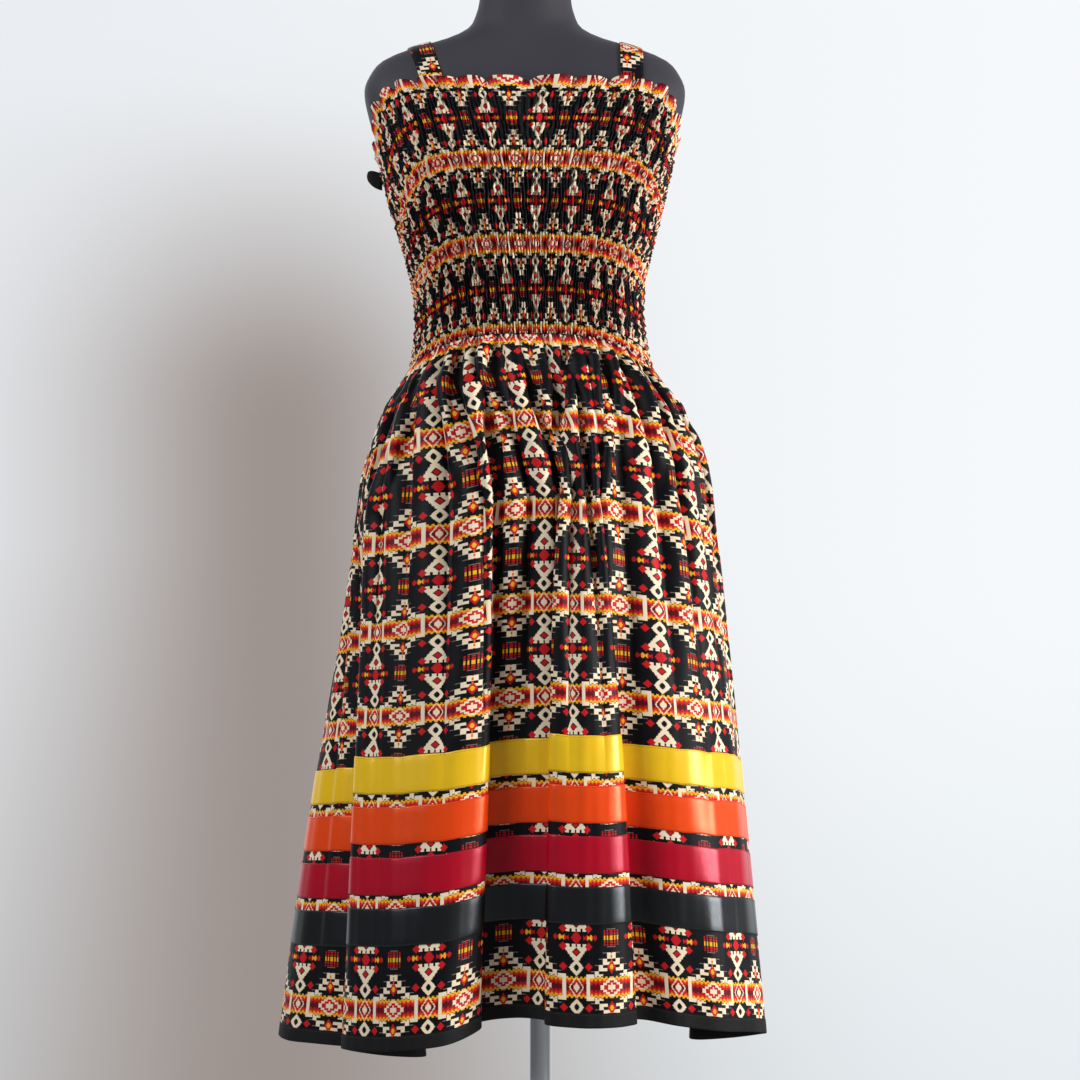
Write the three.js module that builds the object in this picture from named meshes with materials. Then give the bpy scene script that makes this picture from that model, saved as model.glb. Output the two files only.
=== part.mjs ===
// A ribbon sundress, worn on a limbless dress form that stands on a steel pole and a round base.
// Millimetres, +Z up. The dress faces -Y, +X is the viewer's right, and the origin is on the floor
// at the middle of the base. A shirred bodice with a ruffled top edge hangs from two straps, and a
// gathered skirt carries four satin ribbons and a bound hem.

import * as THREE from 'three';

// Stand
const BASE_RADIUS = 170;
const BASE_THICKNESS = 8;
const BASE_CHAMFER = 2;
const POLE_RADIUS = 12.5;
const FORM_BOTTOM = 800;
const ROUND_SIDES = 36;

// Cloth
const SEAM_GAP = 0.3;
const BODICE_WALL = 1.5;
const RIB_HEIGHT = 1.9;
const RUFFLE_WALL = 1.2;
const SKIRT_WALL = 1.3;
const RIBBON_WALL = 1.0;
const RIBBON_GAP = 0.7;
const BINDING_WALL = 2.2;
const STRAP_WIDTH = 25;
const STRAP_WALL = 1.5;
const STRAP_EASE = 0.9;

// Counts: ribs of the shirring, waves of the ruffle and gathers of the skirt, for each panel
const BODICE_RIBS = 52;
const RUFFLE_WAVES = 18;
const SKIRT_GATHERS = 20;
const COLUMNS_PER_RIB = 2;
const COLUMNS_PER_WAVE = 4;
const COLUMNS_PER_GATHER = 4;
const LINING_RATIO = 4;
const FORM_COLUMNS = 30;
const TALL_STEP = 44;

// Heights on the skirt, up from the hem
const BINDING_HEIGHT = 15;
const RIBBON_WIDTH = 38;
const RIBBON_PITCH = 51;
const LOWEST_RIBBON = 104;
const RIBBON_NAMES = ['black', 'red', 'orange', 'yellow'];

const RUFFLE_HEIGHT = 14.5;

// The middle line of the form and the dress: the form stands a little out of plumb on its pole.
const MIDDLE_LINE = [
  { z: 0, x: 0 },
  { z: 300, x: 0 },
  { z: 890, x: -4 },
  { z: 1068, x: -11 },
  { z: 1205, x: -15 },
  { z: 1345, x: -17 },
  { z: 1500, x: -16 },
];

// Sections of the form: half width, depth in front and behind, and how square the oval is
const FORM_SECTIONS = [
  { z: 800, half: 152, front: 100, back: 108, square: 2.2 },
  { z: 850, half: 163, front: 108, back: 118, square: 2.2 },
  { z: 910, half: 163, front: 108, back: 118, square: 2.2 },
  { z: 980, half: 146, front: 98, back: 104, square: 2.2 },
  { z: 1040, half: 126, front: 89, back: 90, square: 2.2 },
  { z: 1085, half: 121, front: 88, back: 84, square: 2.25 },
  { z: 1125, half: 123, front: 93, back: 84, square: 2.3 },
  { z: 1163, half: 131, front: 103, back: 88, square: 2.35 },
  { z: 1205, half: 143, front: 113, back: 93, square: 2.4 },
  { z: 1244, half: 153, front: 115, back: 97, square: 2.45 },
  { z: 1285, half: 165, front: 106, back: 98, square: 2.6 },
  { z: 1318, half: 175, front: 94, back: 96, square: 2.8 },
  { z: 1345, half: 179, front: 81, back: 91, square: 3.0 },
  { z: 1362, half: 173, front: 71, back: 84, square: 3.0 },
  { z: 1378, half: 160, front: 62, back: 75, square: 2.8 },
  { z: 1391, half: 132, front: 56, back: 67, square: 2.5 },
  { z: 1403, half: 92, front: 52, back: 61, square: 2.2 },
  { z: 1416, half: 65, front: 49, back: 55, square: 2.0 },
  { z: 1433, half: 55, front: 48, back: 52, square: 2.0 },
  { z: 1452, half: 51, front: 47, back: 50, square: 2.0 },
  { z: 1486, half: 50, front: 46, back: 48, square: 2.0 },
  { z: 1495, half: 47, front: 43, back: 45, square: 2.0 },
  { z: 1500, half: 38, front: 34, back: 36, square: 2.0 },
];

// Levels of the bodice: height at the front, how far it hangs lower at the left and right side,
// how late round the side that drop comes, and the room between the form and the cloth
const BODICE_LEVELS = [
  { z: 1333, left: 77, right: 67, late: 8, ease: 1.6 },
  { z: 1293, left: 84, right: 58, late: 6, ease: 2.2 },
  { z: 1255, left: 86, right: 48, late: 5, ease: 2.4 },
  { z: 1205, left: 60, right: 36, late: 4, ease: 2.4 },
  { z: 1160, left: 42, right: 28, late: 3.5, ease: 2.2 },
  { z: 1112, left: 36, right: 28, late: 3, ease: 2.8 },
  { z: 1069, left: 31, right: 31, late: 3, ease: 4.5 },
];

// Rings of the gathered part of the skirt: height at the front, drop at the side, section,
// depth of the gathers, and how far the cloth has drifted from its place at the seam
const SKIRT_RINGS = [
  { z: 1067.9, drop: 31, half: 133.5, front: 97, back: 93, gather: 2.2, drift: 0 },
  { z: 1048, drop: 33, half: 148, front: 111, back: 107, gather: 4.2, drift: 0.1 },
  { z: 1022, drop: 33, half: 164, front: 126, back: 122, gather: 5.4, drift: 0.25 },
  { z: 988, drop: 33, half: 177, front: 141, back: 137, gather: 6.0, drift: 0.5 },
  { z: 942, drop: 33, half: 189, front: 154, back: 150, gather: 5.8, drift: 0.8 },
  { z: 890, drop: 33, half: 197, front: 164, back: 160, gather: 5.0, drift: 1 },
];
const SIDE_LATE = 3;
const SKIRT_SQUARE = 2.2;

// Below the last ring the cloth hangs almost straight to the hem, a little fuller than a cone.
const SKIRT_FLARE = 0.86;

// The hem's outline, clockwise from the left side seam when seen from below: place and height of
// each turn of the cloth, and the angle at the hip that it hangs from. Both side seams are tucked in.
const HEM_TURNS = [
  { fold: 'left seam', x: -124, y: -113, z: 290, hip: -79 },
  { fold: 'left tuck', x: -133, y: -127, z: 291, hip: -76 },
  { fold: 'left tuck', x: -165, y: -134, z: 294, hip: -73 },
  { fold: 'left lobe', x: -198, y: -141, z: 300, hip: -70 },
  { fold: 'left lobe', x: -211, y: -154, z: 306, hip: -67 },
  { fold: 'left lobe', x: -197, y: -170, z: 309, hip: -62 },
  { fold: 'left lobe', x: -160, y: -190, z: 315, hip: -49 },
  { fold: 'left lobe', x: -118, y: -207, z: 323, hip: -33 },
  { fold: 'left lobe', x: -84, y: -217, z: 330, hip: -18 },
  { fold: 'left lobe', x: -69, y: -210, z: 333, hip: -10 },
  { fold: 'valley', x: -62, y: -196, z: 334, hip: -8 },
  { fold: 'valley', x: -46, y: -188, z: 336, hip: -6 },
  { fold: 'valley', x: -24, y: -187, z: 339, hip: -3 },
  { fold: 'valley', x: -4, y: -190, z: 340, hip: 0 },
  { fold: 'middle lobe', x: 15, y: -205, z: 340, hip: 4 },
  { fold: 'middle lobe', x: 45, y: -220, z: 340, hip: 11 },
  { fold: 'middle lobe', x: 79, y: -223, z: 340, hip: 19 },
  { fold: 'middle lobe', x: 95, y: -213, z: 341, hip: 22 },
  { fold: 'right lobe', x: 91, y: -200, z: 341, hip: 23 },
  { fold: 'right lobe', x: 106, y: -194, z: 341, hip: 26 },
  { fold: 'right lobe', x: 142, y: -190, z: 336, hip: 38 },
  { fold: 'right lobe', x: 183, y: -172, z: 329, hip: 52 },
  { fold: 'right lobe', x: 221, y: -140, z: 321, hip: 66 },
  { fold: 'right lobe', x: 243, y: -102, z: 312, hip: 80 },
  { fold: 'right lobe', x: 238, y: -78, z: 306, hip: 85 },
  { fold: 'right tuck', x: 212, y: -70, z: 301, hip: 88 },
  { fold: 'right tuck', x: 178, y: -66, z: 298, hip: 91 },
  { fold: 'right seam', x: 165, y: -54, z: 297, hip: 93 },
  { fold: 'right tuck', x: 176, y: -42, z: 297, hip: 95 },
  { fold: 'right tuck', x: 207, y: -35, z: 298, hip: 98 },
  { fold: 'back', x: 236, y: -10, z: 300, hip: 102 },
  { fold: 'back', x: 240, y: 30, z: 303, hip: 109 },
  { fold: 'back', x: 213, y: 62, z: 306, hip: 117 },
  { fold: 'back', x: 206, y: 106, z: 310, hip: 126 },
  { fold: 'back', x: 168, y: 120, z: 314, hip: 134 },
  { fold: 'back', x: 143, y: 163, z: 318, hip: 143 },
  { fold: 'back', x: 96, y: 166, z: 323, hip: 153 },
  { fold: 'back', x: 63, y: 201, z: 327, hip: 163 },
  { fold: 'back', x: 12, y: 189, z: 329, hip: 174 },
  { fold: 'back', x: -37, y: 212, z: 330, hip: 185 },
  { fold: 'back', x: -83, y: 187, z: 328, hip: 196 },
  { fold: 'back', x: -133, y: 193, z: 324, hip: 207 },
  { fold: 'back', x: -163, y: 155, z: 319, hip: 217 },
  { fold: 'back', x: -210, y: 146, z: 314, hip: 227 },
  { fold: 'back', x: -228, y: 102, z: 308, hip: 238 },
  { fold: 'back', x: -268, y: 78, z: 303, hip: 249 },
  { fold: 'left rear lobe', x: -276, y: 34, z: 296, hip: 259 },
  { fold: 'left rear lobe', x: -292, y: 2, z: 292, hip: 265 },
  { fold: 'left rear lobe', x: -280, y: -38, z: 292, hip: 269 },
  { fold: 'left rear lobe', x: -247, y: -68, z: 294, hip: 273 },
  { fold: 'left rear lobe', x: -202, y: -88, z: 294, hip: 276 },
  { fold: 'left tuck', x: -150, y: -97, z: 291, hip: 279 },
];

// Straps: place of the middle line at the front edge, over the shoulder and at the back edge
const STRAPS = {
  left: { front: -97, top: -119, back: -88 },
  right: { front: 118, top: 118, back: 90 },
};
const STRAP_STEPS = 16;

// Finishes
const FINISHES = {
  jersey: { color: 0x2d2d33, roughness: 0.9, metalness: 0 },
  chrome: { color: 0xc8cace, roughness: 0.12, metalness: 1 },
  print: { color: 0x2a211c, roughness: 0.8, metalness: 0 },
  yellow: { color: 0xe3b51c, roughness: 0.35, metalness: 0 },
  orange: { color: 0xe8591a, roughness: 0.35, metalness: 0 },
  red: { color: 0xb5142b, roughness: 0.35, metalness: 0 },
  black: { color: 0x15161a, roughness: 0.35, metalness: 0 },
  binding: { color: 0x101114, roughness: 0.7, metalness: 0 },
};

const radians = (degrees) => (degrees * Math.PI) / 180;
const mix = (a, b, share) => a + (b - a) * share;

// A table's column at a place between its rows, on a smooth curve that keeps to the rows
function smooth(table, key, at, column) {
  const last = table.length - 1;
  const rising = table[last][key] > table[0][key] ? 1 : -1;
  let i = 0;
  while (i < last - 1 && rising * (at - table[i + 1][key]) > 0) i += 1;
  const slope = (k) => {
    const a = table[Math.max(k - 1, 0)];
    const b = table[Math.min(k + 1, last)];
    return (b[column] - a[column]) / (b[key] - a[key]);
  };
  const [p, q] = [table[i], table[i + 1]];
  const span = q[key] - p[key];
  const t = Math.min(Math.max((at - p[key]) / span, 0), 1);
  const bend = t * t * (3 - 2 * t);
  const leave = t * (1 - t) * (1 - t) * span * slope(i);
  const arrive = t * t * (t - 1) * span * slope(i + 1);
  return mix(p[column], q[column], bend) + leave + arrive;
}

// A point on an oval of the given section, at an angle from the front
function onOval(section, angle, z) {
  const power = 2 / section.square;
  const side = Math.sin(angle);
  const ahead = Math.cos(angle);
  const depth = ahead > 0 ? section.front : section.back;
  return new THREE.Vector3(
    Math.sign(side) * section.half * Math.abs(side) ** power,
    -Math.sign(ahead) * depth * Math.abs(ahead) ** power,
    z,
  );
}

function formSection(z, room = 0) {
  return {
    half: smooth(FORM_SECTIONS, 'z', z, 'half') + room,
    front: smooth(FORM_SECTIONS, 'z', z, 'front') + room,
    back: smooth(FORM_SECTIONS, 'z', z, 'back') + room,
    square: smooth(FORM_SECTIONS, 'z', z, 'square'),
  };
}

function insideForm(x, y, z) {
  const s = formSection(z);
  const depth = y < 0 ? s.front : s.back;
  return Math.abs(x / s.half) ** s.square + Math.abs(y / depth) ** s.square < 1;
}

const lean = (point) => point.clone().setX(point.x + smooth(MIDDLE_LINE, 'z', point.z, 'x'));

// Triangles between two lines of points, which may have different numbers of them
function stitch(faces, a, b) {
  let i = 0;
  let j = 0;
  while (i < a.length - 1 || j < b.length - 1) {
    const nextA = (i + 1) / (a.length - 1);
    const nextB = (j + 1) / (b.length - 1);
    if (nextA <= nextB + 1e-9 && i < a.length - 1) {
      faces.push([a[i], b[j], a[i + 1]]);
      i += 1;
    } else {
      faces.push([a[i], b[j], b[j + 1]]);
      j += 1;
    }
  }
}

function geometryOf(faces) {
  let volume = 0;
  for (const [a, b, c] of faces) volume += a.dot(b.clone().cross(c));
  const order = volume > 0 ? [0, 1, 2] : [0, 2, 1];
  const places = [];
  for (const face of faces) {
    for (const k of order) places.push(...lean(face[k]).toArray());
  }
  const geometry = new THREE.BufferGeometry();
  geometry.setAttribute('position', new THREE.Float32BufferAttribute(places, 3));
  geometry.computeVertexNormals();
  return geometry;
}

// A closed wall between an outer and an inner sheet, each given as rows of points from its top. Both
// sheets are split along the same diagonals, so that a thin wall keeps its thickness.
function wall(outer, inner) {
  const faces = [];
  const lining = [];
  const last = outer.length - 1;
  for (let r = 0; r < last; r += 1) {
    stitch(faces, outer[r], outer[r + 1]);
    stitch(lining, inner[r], inner[r + 1]);
  }
  for (const [a, b, c] of lining) faces.push([a, c, b]);
  stitch(faces, inner[0], outer[0]);
  stitch(faces, outer[last], inner[last]);
  stitch(faces, outer.map((row) => row[0]), inner.map((row) => row[0]));
  stitch(faces, inner.map((row) => row.at(-1)), outer.map((row) => row.at(-1)));
  return geometryOf(faces);
}

// A closed body with rings of points one above the other, and a flat fan at each end
function stacked(rings) {
  const faces = [];
  for (let r = 0; r < rings.length - 1; r += 1) stitch(faces, rings[r], rings[r + 1]);
  for (const [ring, turned] of [[rings[0], false], [rings.at(-1), true]]) {
    const middle = ring.slice(1).reduce((sum, p) => sum.add(p), new THREE.Vector3());
    middle.divideScalar(ring.length - 1);
    for (let i = 0; i < ring.length - 1; i += 1) {
      faces.push(turned ? [middle, ring[i + 1], ring[i]] : [middle, ring[i], ring[i + 1]]);
    }
  }
  return geometryOf(faces);
}

function makeForm() {
  const levels = [];
  for (let k = 0; k < FORM_SECTIONS.length - 1; k += 1) {
    const [low, high] = [FORM_SECTIONS[k].z, FORM_SECTIONS[k + 1].z];
    levels.push(low);
    if (high - low > TALL_STEP) levels.push((low + high) / 2);
  }
  levels.push(FORM_SECTIONS.at(-1).z);
  const rings = levels.map((z) => {
    const ring = [];
    for (let i = 0; i <= FORM_COLUMNS; i += 1) {
      const angle = radians((360 * (i % FORM_COLUMNS)) / FORM_COLUMNS);
      ring.push(onOval(formSection(z), angle, z));
    }
    return ring;
  });
  return stacked(rings);
}

// Height of a bodice level at an angle, where 0 is the top edge and 1 the waist seam
function bodiceHeight(level, angle) {
  const side = Math.sin(angle);
  const row = (column) => smooth(BODICE_TABLE, 'level', level, column);
  return row('z') - (side < 0 ? row('left') : row('right')) * Math.abs(side) ** row('late');
}
const BODICE_TABLE = BODICE_LEVELS.map((row, i) => ({ ...row, level: i / (BODICE_LEVELS.length - 1) }));

function bodicePoint(level, angle, proud) {
  const z = bodiceHeight(level, angle);
  return onOval(formSection(z, smooth(BODICE_TABLE, 'level', level, 'ease') + proud), angle, z);
}

// The angles of a half panel's columns: the front runs from the left seam to the right one, and
// the back from the right seam round to the left one
function panelAngles(panel, columns, trim) {
  const start = panel === 'front' ? -90 : 90;
  const angles = [];
  for (let i = 0; i <= columns; i += 1) {
    angles.push(radians(mix(start + trim, start + 180 - trim, i / columns)));
  }
  return angles;
}
const SEAM_TRIM = 0.09;

function makeBodice(panel) {
  const outerAngles = panelAngles(panel, BODICE_RIBS * COLUMNS_PER_RIB, SEAM_TRIM);
  const innerAngles = outerAngles.filter((angle, i) => i % LINING_RATIO === 0);
  const levels = BODICE_TABLE.map((row) => row.level);
  const rib = (i) => (i % COLUMNS_PER_RIB ? RIB_HEIGHT : 0);
  return wall(
    levels.map((v) => outerAngles.map((angle, i) => bodicePoint(v, angle, BODICE_WALL + rib(i)))),
    levels.map((v) => innerAngles.map((angle) => bodicePoint(v, angle, 0))),
  );
}

// The ruffle stands on the outer half of the bodice's top edge, and its waves grow upwards.
const RUFFLE_STAND = 1.9;
const RUFFLE_ROWS = [
  { rise: 0, wave: 0.4 },
  { rise: 0.5, wave: 2.4 },
  { rise: 1, wave: 4.6 },
];
const UNDERARM_FLARE = 5;
const UNDERARM_REACH = 0.97;

function makeRuffle(panel) {
  const angles = panelAngles(panel, RUFFLE_WAVES * COLUMNS_PER_WAVE, SEAM_TRIM);
  const rowOf = (row, proud) => angles.map((angle, i) => {
    const swing = 1 + Math.cos((2 * Math.PI * i) / COLUMNS_PER_WAVE);
    const tuck = Math.min(Math.max((-Math.sin(angle) - UNDERARM_REACH) / (1 - UNDERARM_REACH), 0), 1);
    const flare = UNDERARM_FLARE * tuck * row.rise;
    const edge = bodiceHeight(0, angle) + 2 * SEAM_GAP;
    const z = edge + RUFFLE_HEIGHT * row.rise;
    const room = BODICE_LEVELS[0].ease + RUFFLE_STAND + row.wave * swing + flare + proud;
    return onOval(formSection(z, room), angle, z);
  });
  const rows = [...RUFFLE_ROWS].reverse();
  return wall(rows.map((row) => rowOf(row, RUFFLE_WALL)), rows.map((row) => rowOf(row, 0)));
}

// The cloth's line at the hem, as a closed smooth curve through its turns, cut at the side seams
function hemLines() {
  const fine = 24;
  const points = [];
  const count = HEM_TURNS.length;
  const turn = (k) => HEM_TURNS[(k + count) % count];
  const keys = ['x', 'y', 'z', 'hip'];
  for (let k = 0; k < count; k += 1) {
    const rows = [turn(k - 1), turn(k), turn(k + 1), turn(k + 2)].map((row) => ({ ...row }));
    const near = rows[1].hip;
    for (const row of rows) row.hip -= 360 * Math.round((row.hip - near) / 360);
    for (let i = 0; i < fine; i += 1) {
      const t = i / fine;
      const [a, b, c, d] = rows;
      const point = {};
      for (const key of keys) {
        const bow = (2 * a[key] - 5 * b[key] + 4 * c[key] - d[key]) * t * t;
        const twist = (3 * b[key] - a[key] - 3 * c[key] + d[key]) * t * t * t;
        point[key] = 0.5 * (2 * b[key] + (c[key] - a[key]) * t + bow + twist);
      }
      points.push(point);
    }
  }
  const rightSeam = fine * HEM_TURNS.findIndex((row) => row.fold === 'right seam');
  return {
    front: points.slice(0, rightSeam + 1),
    back: [...points.slice(rightSeam), points[0]],
  };
}
const HEM_LINES = hemLines();

// The place on a panel's hem line at a share of the cloth's width
function hemPlaces(panel) {
  const line = HEM_LINES[panel];
  const along = [0];
  for (let i = 1; i < line.length; i += 1) {
    const [a, b] = [line[i - 1], line[i]];
    along.push(along[i - 1] + Math.hypot(b.x - a.x, b.y - a.y));
  }
  const width = along.at(-1);
  return (share) => {
    const at = share * width;
    let i = 1;
    while (i < line.length - 1 && along[i] < at) i += 1;
    const part = (at - along[i - 1]) / (along[i] - along[i - 1]);
    const [a, b] = [line[i - 1], line[i]];
    const turned = 360 * Math.round((a.hip - b.hip) / 360);
    return {
      x: mix(a.x, b.x, part),
      y: mix(a.y, b.y, part),
      z: mix(a.z, b.z, part),
      hip: mix(a.hip, b.hip + turned, part),
    };
  };
}
const HEM_AT = { front: hemPlaces('front'), back: hemPlaces('back') };

// Where a gather lies out of step with an even spacing, and how deep it is for its place
const unevenness = (share) => 0.007 * Math.sin(17 * share) + 0.004 * Math.sin(41 * share + 1);
const depthShare = (share) => 0.78 + 0.22 * Math.sin(29 * share + 0.6);

// A point on the skirt: share of the panel's width, and a level that is a ring's number in the
// gathered part, and past the last ring the number of that ring plus the share of the way to the hem
function skirtPoint(panel, share, level) {
  const last = SKIRT_RINGS.length - 1;
  const hem = HEM_AT[panel](share);
  const start = panel === 'front' ? -90 : 90;
  const even = start + 180 * (share + unevenness(share) * Math.sin(Math.PI * share));
  const hip = hem.hip - 360 * Math.round((hem.hip - even) / 360);
  const ring = Math.min(level, last);
  const row = (column) => smooth(RING_TABLE, 'ring', ring, column);
  const angle = radians(mix(even, hip, row('drift')));
  const fade = 1 - Math.min(Math.max(level - last, 0) / GATHER_FADE, 1);
  const swing = Math.cos(2 * Math.PI * SKIRT_GATHERS * share) * depthShare(share) * row('gather') * fade;
  const section = {
    half: row('half') + swing,
    front: row('front') + swing,
    back: row('back') + swing,
    square: SKIRT_SQUARE,
  };
  const z = row('z') - row('drop') * Math.abs(Math.sin(angle)) ** SIDE_LATE;
  const point = onOval(section, angle, z);
  const down = Math.max(level - last, 0);
  const flare = down ** SKIRT_FLARE;
  return new THREE.Vector3(mix(point.x, hem.x, flare), mix(point.y, hem.y, flare), mix(z, hem.z, down));
}
const RING_TABLE = SKIRT_RINGS.map((row, i) => ({ ...row, ring: i }));
const GATHER_FADE = 0.46;

// A row of a panel at a level, moved out from the cloth's face by the given amount. At a side seam
// the row looks on to the other panel, so that both panels end square to the seam.
function skirtRow(panel, shares, levelOf, proud) {
  const other = panel === 'front' ? 'back' : 'front';
  const row = shares.map((share) => skirtPoint(panel, share, levelOf(share)));
  const last = row.length - 1;
  const before = skirtPoint(other, shares[last - 1], levelOf(shares[0]));
  const after = skirtPoint(other, shares[1], levelOf(shares[last]));
  return row.map((point, i) => {
    const across = (row[i + 1] ?? after).clone().sub(row[i - 1] ?? before);
    const rise = Math.min(Math.max(levelOf(shares[i]), LEVEL_STEP), MAX_LEVEL - LEVEL_STEP);
    const above = skirtPoint(panel, shares[i], rise - LEVEL_STEP);
    const down = skirtPoint(panel, shares[i], rise + LEVEL_STEP).sub(above);
    return point.clone().addScaledVector(across.cross(down).normalize(), -proud);
  });
}
const LEVEL_STEP = 0.02;
const MAX_LEVEL = SKIRT_RINGS.length;

// The level at a height above the hem
function levelAbove(panel, height) {
  return (share) => {
    const last = SKIRT_RINGS.length - 1;
    const hip = skirtPoint(panel, share, last);
    const hem = skirtPoint(panel, share, MAX_LEVEL);
    return MAX_LEVEL - height / hip.distanceTo(hem);
  };
}

function sharesOf(columns) {
  const trim = 0.0004;
  return Array.from({ length: columns + 1 }, (_, i) => mix(trim, 1 - trim, i / columns));
}
const FINE_SHARES = sharesOf(SKIRT_GATHERS * COLUMNS_PER_GATHER);
const PLAIN_SHARES = FINE_SHARES.filter((share, i) => i % 2 === 0);

// Heights above the hem of each ribbon's lower edge, and of the rows that the panel has there
const RIBBON_EDGES = RIBBON_NAMES.map((name, i) => LOWEST_RIBBON + i * RIBBON_PITCH);
const RIBBON_ROWS = [...RIBBON_EDGES, RIBBON_EDGES.at(-1) + RIBBON_WIDTH].reverse();

function makeSkirt(panel) {
  const last = SKIRT_RINGS.length - 1;
  const rows = [];
  for (let ring = 0; ring <= last; ring += 1) rows.push({ shares: FINE_SHARES, levelOf: () => ring });
  rows.push({ shares: FINE_SHARES, levelOf: () => last + GATHER_FADE / 2 });
  for (const height of [...RIBBON_ROWS, BINDING_HEIGHT + SEAM_GAP]) {
    rows.push({ shares: PLAIN_SHARES, levelOf: levelAbove(panel, height) });
  }
  return wall(
    rows.map((row) => skirtRow(panel, row.shares, row.levelOf, 0)),
    rows.map((row) => skirtRow(panel, row.shares, row.levelOf, -SKIRT_WALL)),
  );
}

// A strip of cloth on the skirt between two heights above the hem
function makeStrip(panel, low, high, near, far) {
  const levels = [levelAbove(panel, high), levelAbove(panel, low)];
  return wall(
    levels.map((levelOf) => skirtRow(panel, PLAIN_SHARES, levelOf, far)),
    levels.map((levelOf) => skirtRow(panel, PLAIN_SHARES, levelOf, near)),
  );
}

// The height at which a strap whose middle line is at x meets the bodice's top edge
function strapFoot(x) {
  const edge = formSection(BODICE_LEVELS[0].z);
  const inner = Math.abs(x) - STRAP_WIDTH / 2;
  const angle = Math.asin((inner / edge.half) ** (edge.square / 2));
  return bodiceHeight(0, angle * Math.sign(x)) + 2 * SEAM_GAP;
}

// A strap follows the form from the front edge of the bodice, over the shoulder, to the back edge.
function makeStrap(strap) {
  const line = (offset, proud) => {
    const points = [];
    for (let i = 0; i <= STRAP_STEPS; i += 1) {
      const turn = (Math.PI * i) / STRAP_STEPS;
      const over = Math.sin(turn);
      const end = turn < Math.PI / 2 ? strap.front : strap.back;
      const x = mix(end, strap.top, over) + offset;
      const foot = strapFoot(end);
      let [near, far] = [0, 200];
      for (let k = 0; k < 40; k += 1) {
        const r = (near + far) / 2;
        if (insideForm(x, -r * Math.cos(turn), foot + r * over)) near = r;
        else far = r;
      }
      const r = near + STRAP_EASE + proud;
      points.push(new THREE.Vector3(x, -r * Math.cos(turn), foot + r * over));
    }
    return points;
  };
  const offsets = [-0.5, 0, 0.5].map((share) => share * STRAP_WIDTH);
  return wall(
    offsets.map((offset) => line(offset, STRAP_WALL)),
    offsets.map((offset) => line(offset, 0)),
  );
}

function makePole() {
  const bottom = BASE_THICKNESS + SEAM_GAP;
  const geometry = new THREE.CylinderGeometry(POLE_RADIUS, POLE_RADIUS, FORM_BOTTOM - SEAM_GAP - bottom, ROUND_SIDES);
  geometry.rotateX(Math.PI / 2);
  geometry.translate(0, 0, (FORM_BOTTOM - SEAM_GAP + bottom) / 2);
  return geometry;
}

function makeBase() {
  const profile = [
    new THREE.Vector2(0, 0),
    new THREE.Vector2(BASE_RADIUS, 0),
    new THREE.Vector2(BASE_RADIUS, BASE_THICKNESS - BASE_CHAMFER),
    new THREE.Vector2(BASE_RADIUS - BASE_CHAMFER, BASE_THICKNESS),
    new THREE.Vector2(0, BASE_THICKNESS),
  ];
  const geometry = new THREE.LatheGeometry(profile, ROUND_SIDES);
  geometry.rotateX(Math.PI / 2);
  return geometry;
}

const model = new THREE.Group();

function add(name, geometry, finish) {
  const mesh = new THREE.Mesh(geometry, new THREE.MeshStandardMaterial(FINISHES[finish]));
  mesh.name = name;
  model.add(mesh);
}

add('base_plate', makeBase(), 'chrome');
add('pole', makePole(), 'chrome');
add('form_torso', makeForm(), 'jersey');
for (const panel of ['front', 'back']) {
  add(`bodice_${panel}`, makeBodice(panel), 'print');
  add(`ruffle_${panel}`, makeRuffle(panel), 'print');
  add(`skirt_${panel}`, makeSkirt(panel), 'print');
  RIBBON_NAMES.forEach((colour, i) => {
    const low = RIBBON_EDGES[i];
    const strip = makeStrip(panel, low, low + RIBBON_WIDTH, RIBBON_GAP, RIBBON_GAP + RIBBON_WALL);
    add(`ribbon_${colour}_${panel}`, strip, colour);
  });
  const cover = (BINDING_WALL - SKIRT_WALL) / 2;
  add(`hem_binding_${panel}`, makeStrip(panel, 0, BINDING_HEIGHT, -SKIRT_WALL - cover, cover), 'binding');
}
for (const side of ['left', 'right']) add(`strap_${side}`, makeStrap(STRAPS[side]), 'print');

export default model;
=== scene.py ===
"""Looks of a ribbon sundress, worn on a limbless dress form on a steel pole and a round base.

Sizes are in millimetres in the classes and in metres in the meshes. The dress faces -Y, +X is the
viewer's right, and the origin is on the floor at the middle of the base.
"""

import logging
import math
from dataclasses import dataclass, field
from enum import Enum
from typing import Callable, Optional, Sequence, Union

import bpy
import numpy as np
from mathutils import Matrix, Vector


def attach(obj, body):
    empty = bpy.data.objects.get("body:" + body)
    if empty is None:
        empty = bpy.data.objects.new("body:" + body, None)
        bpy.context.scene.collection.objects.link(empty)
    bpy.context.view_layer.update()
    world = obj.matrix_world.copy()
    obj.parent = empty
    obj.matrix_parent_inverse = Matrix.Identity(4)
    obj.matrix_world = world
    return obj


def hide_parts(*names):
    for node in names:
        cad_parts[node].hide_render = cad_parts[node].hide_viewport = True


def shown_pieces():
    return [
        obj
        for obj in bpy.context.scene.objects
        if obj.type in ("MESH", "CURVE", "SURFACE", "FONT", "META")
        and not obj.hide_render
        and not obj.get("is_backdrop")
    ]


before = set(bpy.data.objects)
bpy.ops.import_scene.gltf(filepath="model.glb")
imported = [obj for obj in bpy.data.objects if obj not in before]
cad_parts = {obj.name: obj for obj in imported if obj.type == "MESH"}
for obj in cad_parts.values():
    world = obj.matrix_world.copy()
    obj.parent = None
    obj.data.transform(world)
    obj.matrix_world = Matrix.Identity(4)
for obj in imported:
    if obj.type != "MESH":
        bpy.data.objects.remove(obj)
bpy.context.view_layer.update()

LOG = logging.getLogger("sundress")
METRE = 0.001
Array = np.ndarray


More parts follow.
